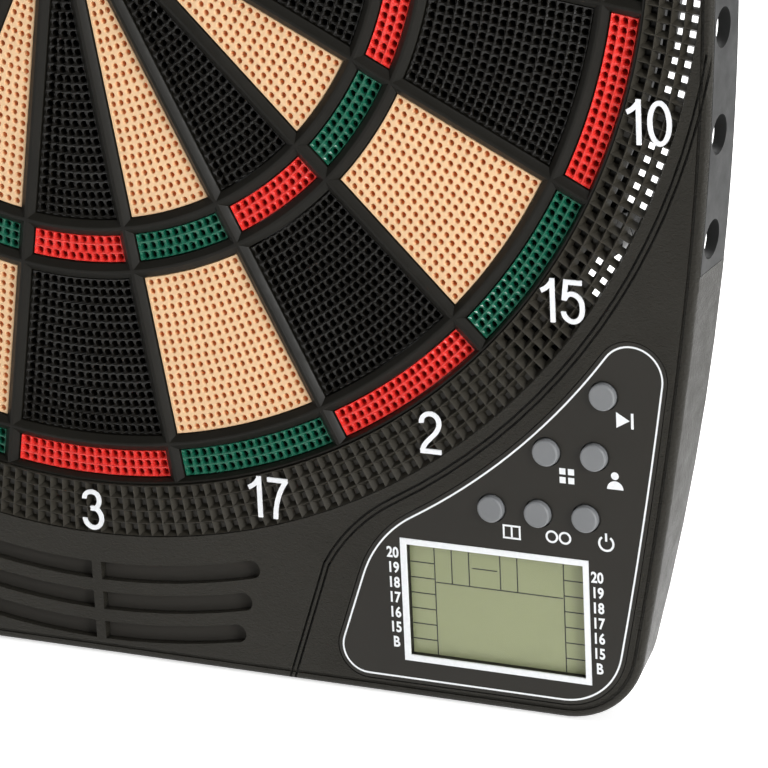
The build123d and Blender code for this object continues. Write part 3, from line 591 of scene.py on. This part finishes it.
class Style:
    """How a segment's face is perforated. The pitch is across the segment, ends are its plain rims, and the
    ribs between rows dip by row_dip, and those between columns by side_dip."""

    def __init__(self, column_pitch, ends, rib, row_dip, side_dip, mouth, throat, floor):
        self.column_pitch = column_pitch
        self.ends = ends
        self.rib = rib
        self.row_dip = row_dip
        self.side_dip = side_dip
        self.mouth = mouth
        self.throat = throat
        self.floor = floor


# Each hole narrows through three rings, given as (radius, depth below the face)
ROUND_HOLES = Style(column_pitch=2.56, ends=0.3, rib=0.07, row_dip=0.0, side_dip=0.0,
                    mouth=(0.98, 0.0), throat=(0.84, 0.25), floor=(0.70, 2.6))
BLACK_FUNNELS = Style(column_pitch=2.56, ends=0.3, rib=0.05, row_dip=0.50, side_dip=0.50,
                      mouth=(1.02, 0.52), throat=(0.80, 1.1), floor=(0.5, 4.6))
RIM_FUNNELS = Style(column_pitch=2.62, ends=0.05, rib=0.13, row_dip=0.15, side_dip=0.55,
                    mouth=(1.05, 0.5), throat=(0.84, 1.1), floor=(0.5, 4.6))


def half_angle(radius, inset):
    """Half the angle of a sector at a radius, with both sides moved in by inset."""
    return SECTOR / 2 - math.degrees(math.asin(inset / radius))


class Area:
    """A segment's outline in its own grid: u runs across it from -1 to 1, r is the radius."""

    def __init__(self, ring, middle, whole=False):
        self.inner, self.outer = ring
        self.middle = middle
        self.whole = whole

    def span(self, radius, inset):
        return 180.0 if self.whole else half_angle(radius, HALF_GAP + inset)

    def point(self, u, radius, inset):
        return on_circle(radius, self.middle + u * self.span(radius, inset))

    def width(self, radius, inset):
        return 2 * math.radians(self.span(radius, inset)) * radius


def drill(shell, style, border, centre):
    """Fills one cell of the face with a hole. border is its eight outer points, clockwise from a corner."""
    def rim(radius, y):
        flat = []
        for corner in border:
            px, _, pz = shell.points[corner]
            dx = px / MM - centre[0]
            dz = pz / MM - centre[1]
            size = math.hypot(dx, dz)
            flat.append((centre[0] + dx / size * radius, centre[1] + dz / size * radius))
        return shell.loop(flat, y)

    previous = border
    for radius, depth in (style.mouth, style.throat, style.floor):
        fresh = rim(radius, SEGMENT_FACE + depth)
        shell.bridge(previous, fresh)
        previous = fresh
    shell.face(*previous)


def perforate(shell, style, area):
    """Builds one segment: a perforated face, sides, a flange behind, and a back."""
    start = area.inner + style.ends
    end = area.outer - style.ends
    rows = max(1, round((end - start) / ROW_PITCH))
    edges = spread(start, end, rows)
    previous = None
    left = []
    right = []
    first_row = None
    for low, high in zip(edges, edges[1:]):
        middle = (low + high) / 2
        columns = max(1, round(area.width(middle, SIDE_MARGIN) / style.column_pitch))
        steps = spread(-1.0, 1.0, 2 * columns)
        if area.whole:
            steps = steps[:-1]
        grid = []
        along_rib = (0.0, style.row_dip)
        between_ribs = (style.side_dip, None)
        for r, dips in ((low + style.rib, along_rib), (middle, between_ribs), (high - style.rib, along_rib)):
            line = []
            for k, u in enumerate(steps):
                dip = dips[k % 2]
                x, z = area.point(u, r, SIDE_MARGIN)
                line.append(None if dip is None else shell.add(x, SEGMENT_FACE + dip, z))
            grid.append(line)
        wrap = len(steps)
        for c in range(columns):
            a = 2 * c
            b = a + 1
            d = (a + 2) % wrap
            around = ((0, a), (0, b), (0, d), (1, d), (2, d), (2, b), (2, a), (1, a))
            border = [grid[row][column] for row, column in around]
            drill(shell, style, border, area.point(steps[b], middle, SIDE_MARGIN))
        if area.whole:
            grid = [line + line[:1] for line in grid]
        if previous is not None:
            shell.zip_rows(previous, grid[0])
        else:
            first_row = grid[0]
        previous = grid[2]
        left += [line[0] for line in grid]
        right += [line[-1] for line in grid]
    if area.whole:
        close_round(shell, area, first_row, previous)
    else:
        close_wedge(shell, area, first_row, previous, left, right)


def close_round(shell, area, inside, outside):
    """Sides and back of a full ring."""
    for row, radius, flange, sign in ((inside, area.inner, 0.0, -1), (outside, area.outer, FLANGE, 1)):
        steps = len(row) - 1
        angles = [area.middle + u * 180.0 for u in spread(-1.0, 1.0, steps)]
        levels = [(radius, SEGMENT_FACE + EDGE_DEPTH)]
        if flange:
            levels += [(radius, FLANGE_FRONT), (radius + sign * flange, FLANGE_FRONT)]
        levels.append((radius + sign * flange, SEGMENT_BACK))
        for r, y in levels:
            fresh = shell.loop([on_circle(r, a) for a in angles], y)
            shell.bridge(row, fresh, closed=False)
            row = fresh
        if sign < 0:
            back_inside = row
    shell.zip_rows(back_inside, row)


def close_wedge(shell, area, inside, outside, left, right):
    """Sides, flange and back of a segment between two sector lines."""
    def outline(grow, y):
        lines = []
        count = len(inside) - 1
        r0 = area.inner - grow
        r1 = area.outer + grow
        lines += [area.point(u, r0, -grow) for u in spread(-1.0, 1.0, count)]
        for corner in right:
            px, _, pz = shell.points[corner]
            r = math.hypot(px, pz) / MM
            lines.append(area.point(1.0, min(max(r, r0), r1), -grow))
        count = len(outside) - 1
        lines += [area.point(u, r1, -grow) for u in spread(1.0, -1.0, count)]
        for corner in reversed(left):
            px, _, pz = shell.points[corner]
            r = math.hypot(px, pz) / MM
            lines.append(area.point(-1.0, min(max(r, r0), r1), -grow))
        return shell.loop(lines, y)

    border = inside + right + outside[::-1] + left[::-1]
    levels = (
        (-EDGE_INSET, SEGMENT_FACE),
        (0.0, SEGMENT_FACE + EDGE_DEPTH),
        (0.0, FLANGE_FRONT),
        (FLANGE, FLANGE_FRONT),
        (FLANGE, SEGMENT_BACK),
    )
    for grow, y in levels:
        fresh = outline(grow, y)
        shell.bridge(border, fresh)
        border = fresh
    shell.face(*border)


def segment_group(node, ring, parity, style, colour):
    """Every second segment of a ring, as one piece. Parity says which one comes first."""
    shell = Shell()
    for index in range(parity, SECTORS, 2):
        perforate(shell, style, Area(ring, SECTOR * index))
    return shell.make("pins_" + node, node, colour, MATERIALS[colour], node)


def bull(node, ring, colour):
    """One full ring of the bull, as one piece."""
    shell = Shell()
    perforate(shell, RIM_FUNNELS, Area(ring, 0.0, whole=True))
    return shell.make("pins_" + node, node, colour, MATERIALS[colour], node)


def make_segments():
    segment_group("double_red", DOUBLE, 0, RIM_FUNNELS, "segment_red")
    segment_group("double_green", DOUBLE, 1, RIM_FUNNELS, "segment_green")
    segment_group("triple_red", TRIPLE, 0, RIM_FUNNELS, "segment_red")
    segment_group("triple_green", TRIPLE, 1, RIM_FUNNELS, "segment_green")
    segment_group("outer_single_black", OUTER_SINGLE, 0, BLACK_FUNNELS, "segment_black")
    segment_group("outer_single_cream", OUTER_SINGLE, 1, ROUND_HOLES, "segment_cream")
    segment_group("inner_single_black", INNER_SINGLE, 0, BLACK_FUNNELS, "segment_black")
    segment_group("inner_single_cream", INNER_SINGLE, 1, ROUND_HOLES, "segment_cream")
    bull("outer_bull", OUTER_BULL, "segment_green")
    bull("inner_bull", INNER_BULL, "segment_red")


# ---------------------------------------------------------------- spider web

def half_bar(low, high):
    """Half the width of the bar between the segments that end at one radius and start at another."""
    return (high - low) / 2 - CLEARANCE


def web_opening(shell, ring, gap_inside, gap_outside, index, share, y):
    """The closed outline round one opening, moved out by a share of the bars' half widths."""
    side = (HALF_GAP - CLEARANCE) * (1.0 - share)
    r0 = ring[0] - CLEARANCE - gap_inside * share
    r1 = ring[1] + CLEARANCE + gap_outside * share
    middle = SECTOR * index

    def spot(u, r):
        return on_circle(r, middle + u * (SECTOR / 2 - math.degrees(math.asin(side / r))))

    steps = max(SMALLEST_SIDE_STEPS, round((ring[1] - ring[0]) / SIDE_STEP))
    flat = [spot(u, r0) for u in spread(-1.0, 1.0, ARC_STEPS)]
    flat += [spot(1.0, r) for r in spread(r0, r1, steps)[1:-1]]
    flat += [spot(u, r1) for u in spread(1.0, -1.0, ARC_STEPS)]
    flat += [spot(-1.0, r) for r in spread(r1, r0, steps)[1:-1]]
    return shell.loop(flat, y)


def make_web():
    """Roof-shaped bars: each opening is walled, and its slopes rise to the middle of the bars round it."""
    centre_bar = INNER_SINGLE[0] - CLEARANCE - WEB_INNER_CREST
    triple_bar = half_bar(INNER_SINGLE[1], TRIPLE[0])
    single_bar = half_bar(TRIPLE[1], OUTER_SINGLE[0])
    double_bar = half_bar(OUTER_SINGLE[1], DOUBLE[0])
    outer_bar = WEB_OUTER_CREST - DOUBLE[1] - CLEARANCE
    rings = (
        (DOUBLE, double_bar, outer_bar),
        (OUTER_SINGLE, single_bar, double_bar),
        (TRIPLE, triple_bar, single_bar),
        (INNER_SINGLE, centre_bar, triple_bar),
    )
    profile = ((1.0, WEB_BACK), (0.0, WEB_BACK)) + BAR_PROFILE
    shell = Shell()
    for ring, inside, outside in rings:
        for index in range(SECTORS):
            rows = [web_opening(shell, ring, inside, outside, index, share, y) for share, y in profile]
            for first, second in zip(rows, rows[1:]):
                shell.bridge(first, second)
    angles = round_turn(ARC_STEPS * SECTORS)
    shell.lathe(WEB_OUTER_PROFILE, angles)
    shell.lathe(WEB_INNER_PROFILE, angles)
    return shell.make("web_bars", "board", "housing_plastic", MATERIALS["web_plastic"], "spider_web",
                      crease=SHARP_EDGE)


# ---------------------------------------------------------------- catch ring

def closed_cell(angle, radius):
    """Whether a cell has no opening: in the lower part of the ring, and behind a numeral."""
    if abs(angle - 180.0) < CLOSED_HALF_ANGLE:
        return True
    place = round(angle / SECTOR)
    digits = len(str(ORDER[place % SECTORS]))
    middle = on_circle(NUMERAL_RADIUS, place * SECTOR)
    x, z = on_circle(radius, angle)
    return abs(x - middle[0]) < DIGIT_HALF_WIDTH * digits and abs(z - middle[1]) < DIGIT_HALF_HEIGHT


def make_catch_ring():
    """Rows of square funnels between thin ribs. The closed cells have a floor at the throat."""
    shell = Shell()
    step = 360.0 / RING_COLUMNS
    edges = [RING_INNER + RING_PITCH * k for k in range(RING_ROWS + 1)]
    outer_wall = edges[-1]

    def lines(half_height, half_width):
        radii = [edges[0]]
        for low, high in zip(edges, edges[1:]):
            middle = (low + high) / 2
            radii += [middle - half_height, middle + half_height]
        radii.append(outer_wall)
        angles = []
        for column in range(RING_COLUMNS):
            angles += [(column * step, -half_width), (column * step, half_width)]
        return radii, angles

    def grid(half_height, half_width, y):
        radii, angles = lines(half_height, half_width)
        rows = []
        for r in radii:
            reach = [math.degrees(math.asin(w / r)) for _, w in angles]
            rows.append(shell.loop([on_circle(r, a + extra) for (a, _), extra in zip(angles, reach)], y))
        return rows

    def plate(rows):
        """The strips between the openings; the openings stay open."""
        count = 2 * RING_COLUMNS
        for i in range(len(rows) - 1):
            for j in range(count):
                if i % 2 == 1 and j % 2 == 0:
                    continue
                n = (j + 1) % count
                shell.face(rows[i][j], rows[i][n], rows[i + 1][n], rows[i + 1][j])

    front = []
    radii, angles = lines((RING_PITCH - RIB) / 2, 0.0)
    for r in radii:
        reach = step / 2 - math.degrees(RIB / 2 / r)
        flat = []
        for column in range(RING_COLUMNS):
            flat += [on_circle(r, column * step - reach), on_circle(r, column * step + reach)]
        front.append(shell.loop(flat, RING_TOP))
    throat = grid(THROAT_SIZE / 2, THROAT_SIZE / 2, RING_THROAT)
    back = grid(BACK_SIZE / 2, BACK_SIZE / 2, RING_BACK)
    plate(front)
    plate(back)
    for row in range(RING_ROWS):
        for column in range(RING_COLUMNS):
            i = 2 * row + 1
            j = 2 * column
            mouths = [[g[i][j], g[i][j + 1], g[i + 1][j + 1], g[i + 1][j]] for g in (front, throat, back)]
            shell.bridge(mouths[0], mouths[1])
            if closed_cell(column * step, edges[row] + RING_PITCH / 2):
                shell.face(*mouths[1])
                shell.face(*mouths[2])
            else:
                shell.bridge(mouths[1], mouths[2])
    shell.bridge(front[0], back[0])
    shell.bridge(front[-1], back[-1])
    for angle in BOSS_ANGLES:
        centre = on_circle(BOSS_RING, angle)
        outline = circle(BOSS_RADIUS, centre, BOSS_SIDES)
        hole = circle(BOSS_HOLE, centre, BOSS_SIDES)
        shell.band(outline, hole, BOSS_BACK, RING_BACK + BOSS_GAP)
    return shell.make("catch_net", "board", "housing_plastic", MATERIALS["ring_plastic"], "catch_ring",
                      crease=SHARP_EDGE)


# ---------------------------------------------------------------- printing on the control panel

def front_outline(node):
    """The outer outline of a flat CAD node's front face, as (x, z) points in millimetres, in order."""
    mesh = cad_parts[node].data
    front = min(v.co.y for v in mesh.vertices) + SAME_LEVEL

    def spot(corner):
        """A corner's place in the face, in metres, rounded so that equal places compare as equal."""
        place = mesh.vertices[corner].co
        return round(place.x, 6), round(place.z, 6)

    uses = {}
    for polygon in mesh.polygons:
        corners = list(polygon.vertices)
        if any(mesh.vertices[v].co.y > front for v in corners):
            continue
        for a, b in zip(corners, corners[1:] + corners[:1]):
            pair = frozenset((spot(a), spot(b)))
            uses[pair] = uses.get(pair, 0) + 1
    nexts = {}
    for pair, count in uses.items():
        if count == 1 and len(pair) == 2:
            a, b = tuple(pair)
            nexts.setdefault(a, []).append(b)
            nexts.setdefault(b, []).append(a)
    loops = []
    while nexts:
        start = sorted(nexts)[0]
        path = [start]
        before = None
        while True:
            options = [p for p in nexts.pop(path[-1]) if p != before]
            before = path[-1]
            step = [p for p in options if p in nexts]
            if not step:
                break
            path.append(sorted(step)[0])
        loops.append(path)
    longest = max(loops, key=len)
    return [(x / MM, z / MM) for x, z in longest]


def resampled(outline, step):
    """A closed outline with points about one step apart."""
    runs = list(zip(outline, outline[1:] + outline[:1]))
    total = sum(math.dist(a, b) for a, b in runs)
    count = round(total / step)
    points = []
    walked = 0.0
    for a, b in runs:
        length = math.dist(a, b)
        while len(points) < count and len(points) * total / count <= walked + length:
            t = (len(points) * total / count - walked) / length if length else 0.0
            points.append((a[0] + (b[0] - a[0]) * t, a[1] + (b[1] - a[1]) * t))
        walked += length
    return points


def inset(outline, distance):
    """A closed outline moved inwards."""
    area = sum(a[0] * b[1] - b[0] * a[1] for a, b in zip(outline, outline[1:] + outline[:1]))
    sign = 1.0 if area > 0 else -1.0
    moved = []
    for before, here, after in zip(outline[-1:] + outline[:-1], outline, outline[1:] + outline[:1]):
        run = (after[0] - before[0], after[1] - before[1])
        size = math.hypot(*run)
        moved.append((here[0] - sign * run[1] / size * distance, here[1] + sign * run[0] / size * distance))
    return moved


def make_overlay_line():
    """White line just inside the edge of the overlay."""
    edge = resampled(front_outline("control_overlay"), LINE_STEP)
    shell = Shell()
    outer = inset(edge, LINE_INSET - LINE_WIDTH / 2)
    inner = inset(edge, LINE_INSET + LINE_WIDTH / 2)
    shell.band(outer, inner, OVERLAY_TOP, OVERLAY_TOP - INK)
    shell.make("overlay_line", "board", "numeral_white", MATERIALS["numeral_white"])


def stroke(shell, points, width, back, front):
    """A straight-sided line through points, thickened."""
    left = []
    right = []
    for k, here in enumerate(points):
        before = points[max(k - 1, 0)]
        after = points[min(k + 1, len(points) - 1)]
        run = (after[0] - before[0], after[1] - before[1])
        size = math.hypot(*run)
        nx, nz = -run[1] / size * width / 2, run[0] / size * width / 2
        left.append((here[0] + nx, here[1] + nz))
        right.append((here[0] - nx, here[1] - nz))
    shell.prism(left + right[::-1], back, front)


def make_display_marks():
    """Fine dark lines of the display: two rules, side ticks, and a row of boxes at the top."""
    left, right, low, high = DISPLAY
    first, second = DISPLAY_RULES
    lines = [((x, low), (x, high)) for x in DISPLAY_RULES]
    for k in range(TICKS):
        z = TICK_TOP - TICK_STEP * k
        lines += [((left, z), (first, z)), ((second, z), (right, z))]
    lines.append(((first + HAIR, BOX_LINE), (second - HAIR, BOX_LINE)))
    lines += [((x, BOX_LINE), (x, high)) for x in BOX_RULES]
    lines.append(((HALF_BOX[0], HALF_BOX[2]), (HALF_BOX[1], HALF_BOX[2])))
    shell = Shell()
    for line in lines:
        stroke(shell, line, HAIR, GLASS_FRONT, GLASS_FRONT - INK / 2)
    shell.make("display_marks", "board", "display_green", MATERIALS["display_line"])


def make_labels():
    """The numbers beside the display."""
    collected = bmesh.new()
    for x in LABEL_COLUMNS:
        for k, text in enumerate(LABELS):
            curve = bpy.data.curves.new("label", "FONT")
            curve.body = text
            curve.align_x = "CENTER"
            curve.align_y = "CENTER"
            curve.size = LABEL_HEIGHT * MM / DIGIT_SHARE
            curve.offset = LABEL_BOLDNESS * MM
            curve.resolution_u = LABEL_CURVE_STEPS
            curve.extrude = INK * MM / 2
            holder = bpy.data.objects.new("label", curve)
            mesh = bpy.data.meshes.new_from_object(holder)
            place = Matrix.Translation(Vector((x, OVERLAY_TOP - INK / 2, LABEL_TOP - LABEL_STEP * k)) * MM)
            narrow = Matrix.Diagonal((LABEL_NARROWING, 1.0, 1.0, 1.0))
            mesh.transform(place @ Matrix.Rotation(math.radians(90), 4, "X") @ narrow)
            collected.from_mesh(mesh)
            bpy.data.objects.remove(holder)
            bpy.data.curves.remove(curve)
            bpy.data.meshes.remove(mesh)
    mesh = bpy.data.meshes.new("display_labels")
    bmesh.ops.remove_doubles(collected, verts=collected.verts, dist=SAME_LABEL_POINT)
    collected.to_mesh(mesh)
    collected.free()
    mesh.materials.clear()
    mesh.materials.append(MATERIALS["numeral_white"])
    labels = bpy.data.objects.new("display_labels", mesh)
    bpy.context.scene.collection.objects.link(labels)
    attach(labels, "board")


def part_circle(centre, radius, start, end, steps=20):
    return arc(centre, radius, spread(start, end, steps))


def button_symbols():
    """Plain symbols for the buttons: closed outlines, and lines given with their width."""
    squares = [[(x, z + 0.6), (x + 1.2, z + 0.6), (x + 1.2, z - 0.6), (x, z - 0.6)]
               for x in (-1.45, 0.25) for z in (-0.85, 0.85)]
    columns = [([(x, -1.0), (x, 1.0)], 0.35) for x in (-1.6, 0.0, 1.6)]
    rings = [(part_circle((x, 0.0), 1.05, 0, 360, 28), 0.4) for x in (-1.3, 1.3)]
    return {
        "start_button": ([[(-1.5, 1.5), (1.1, 0.0), (-1.5, -1.5)]], [([(1.6, -1.5), (1.6, 1.5)], 0.5)]),
        "game_button": (squares, []),
        "player_button": ([circle(0.75, (0.0, 1.0)), part_circle((0.0, -1.6), 1.6, -90, 90)], []),
        "display_button": ([], [([(-1.8, z), (1.8, z)], 0.35) for z in (-1.2, 1.2)] + columns),
        "double_button": ([], rings),
        "power_button": ([], [(part_circle((0.0, -0.2), 1.4, 35, 325), 0.42),
                              ([(0.0, 0.2), (0.0, 1.8)], 0.42)]),
    }


def make_button_marks():
    """The symbols, each below and to the right of its button."""
    shell = Shell()
    for name, (outlines, lines) in button_symbols().items():
        middle = (BUTTONS[name][0] + MARK_SHIFT[0], BUTTONS[name][1] + MARK_SHIFT[1])

        def placed(points):
            return [(middle[0] + x * MARK_SCALE, middle[1] + z * MARK_SCALE) for x, z in points]

        for outline in outlines:
            shell.prism(placed(outline), OVERLAY_TOP, OVERLAY_TOP - INK)
        for points, width in lines:
            stroke(shell, placed(points), width * MARK_SCALE, OVERLAY_TOP, OVERLAY_TOP - INK)
    shell.make("button_marks", "board", "numeral_white", MATERIALS["numeral_white"])


make_segments()
make_web()
make_catch_ring()
make_overlay_line()
make_display_marks()
make_labels()
make_button_marks()


# ---------------------------------------------------------------- studio

CAMERA_PLACE = (0.537437, -0.937607, 0.212727)
CAMERA_TURNS = ((0.106902, "Z"), (0.425410, "Y"), (0.360112, "X"))
CAMERA_LENS = 188.68
CAMERA_SENSOR = 36.0
FARTHEST = 100.0

# Surroundings, from in front and the left round to behind and the right
DIM = (0.30, 0.30, 0.30)
BRIGHT = (1.0, 1.0, 1.0)

# Floor: how far it lies below the object and reaches, and the light it gives off round a place on it
FLOOR_DROP = 0.0005
FLOOR_REACH = 6.0
GLOW = 0.55
GLOW_CENTRE = (0.10, 0.35, -0.228)
GLOW_NEAR = 0.44
GLOW_FAR = 0.56

# Where the lights on the object point
LIT_PLACE = (0.1, 0.0, -0.1)


def make_camera():
    """The camera. Its turns start from the view straight at the board."""
    base = Matrix(((1, 0, 0), (0, 0, -1), (0, 1, 0)))
    turned = Matrix.Identity(3)
    for angle, axis in CAMERA_TURNS:
        turned = turned @ Matrix.Rotation(angle, 3, axis)
    to_camera = turned @ base
    right = Vector(to_camera[0])
    down = Vector(to_camera[1])
    forward = Vector(to_camera[2])
    data = bpy.data.cameras.new("camera")
    data.sensor_width = CAMERA_SENSOR
    data.lens = CAMERA_LENS
    data.clip_end = FARTHEST
    camera = bpy.data.objects.new("camera", data)
    pose = Matrix((right, -down, -forward)).transposed().to_4x4()
    pose.translation = Vector(CAMERA_PLACE)
    camera.matrix_world = pose
    bpy.context.scene.collection.objects.link(camera)
    bpy.context.scene.camera = camera


def make_world():
    """Soft surroundings: white behind the object, bright on the right, dim in front and on the left."""
    world = bpy.data.worlds.new("studio")
    bpy.context.scene.world = world
    world.use_nodes = True
    nodes = world.node_tree.nodes
    links = world.node_tree.links
    background = nodes["Background"]
    coordinate = nodes.new("ShaderNodeTexCoord")
    split = nodes.new("ShaderNodeSeparateXYZ")
    links.new(coordinate.outputs["Generated"], split.inputs["Vector"])
    side = ranged(nodes, links, split.outputs["X"], 0.0, 1.0, from_low=0.55, from_high=0.9)
    behind = ranged(nodes, links, split.outputs["Y"], 0.0, 1.0, from_low=0.35, from_high=0.75)
    front = mixed(nodes, links, side, DIM, BRIGHT)
    links.new(mixed(nodes, links, behind, front, BRIGHT), background.inputs["Color"])
    background.inputs["Strength"].default_value = 1.0


def make_light(name, place, target, size, power):
    """A round area light that points at its target."""
    data = bpy.data.lights.new(name, "AREA")
    data.shape = "DISK"
    data.size = size
    data.energy = power
    light = bpy.data.objects.new(name, data)
    light.location = place
    aim = Vector(target) - Vector(place)
    light.rotation_euler = aim.to_track_quat("-Z", "Y").to_euler()
    bpy.context.scene.collection.objects.link(light)


def glowing_paper():
    """White paper that gives off light near the object, so that it stays white behind and under it."""
    paper = fibrous("floor_paper", (0.93, 0.93, 0.93), (0.96, 0.96, 0.96), 40.0, 0.9, 0.02)
    nodes = paper.node_tree.nodes
    links = paper.node_tree.links
    coordinate = nodes.new("ShaderNodeTexCoord")
    distance = nodes.new("ShaderNodeVectorMath")
    distance.operation = "DISTANCE"
    distance.inputs[1].default_value = GLOW_CENTRE
    links.new(coordinate.outputs["Object"], distance.inputs[0])
    glow = ranged(nodes, links, distance.outputs["Value"], GLOW, 0.0, from_low=GLOW_NEAR, from_high=GLOW_FAR)
    shader = nodes["Principled BSDF"]
    shader.inputs["Emission Color"].default_value = (1.0, 1.0, 1.0, 1.0)
    links.new(glow, shader.inputs["Emission Strength"])
    return paper


def make_floor():
    low = cad_box[0][2] - FLOOR_DROP
    corners = [(x * FLOOR_REACH, y * FLOOR_REACH, low) for x, y in ((-1, -1), (1, -1), (1, 1), (-1, 1))]
    mesh = bpy.data.meshes.new("floor")
    mesh.from_pydata(corners, [], [(0, 1, 2, 3)])
    floor = bpy.data.objects.new("floor", mesh)
    mesh.materials.append(glowing_paper())
    bpy.context.scene.collection.objects.link(floor)


make_camera()
make_world()
make_light("key", place=(2.0, -1.15, 0.55), target=LIT_PLACE, size=0.7, power=34.0)
make_light("side", place=(2.0, -0.3, 0.2), target=LIT_PLACE, size=1.0, power=5.0)
make_light("top", place=(0.9, -0.6, 1.8), target=LIT_PLACE, size=0.7, power=8.0)
make_light("backdrop", place=(-0.5, 1.1, 1.7), target=(-0.3, 0.6, -0.25), size=1.8, power=60.0)
make_floor()
bpy.context.scene.view_settings.view_transform = "Standard"
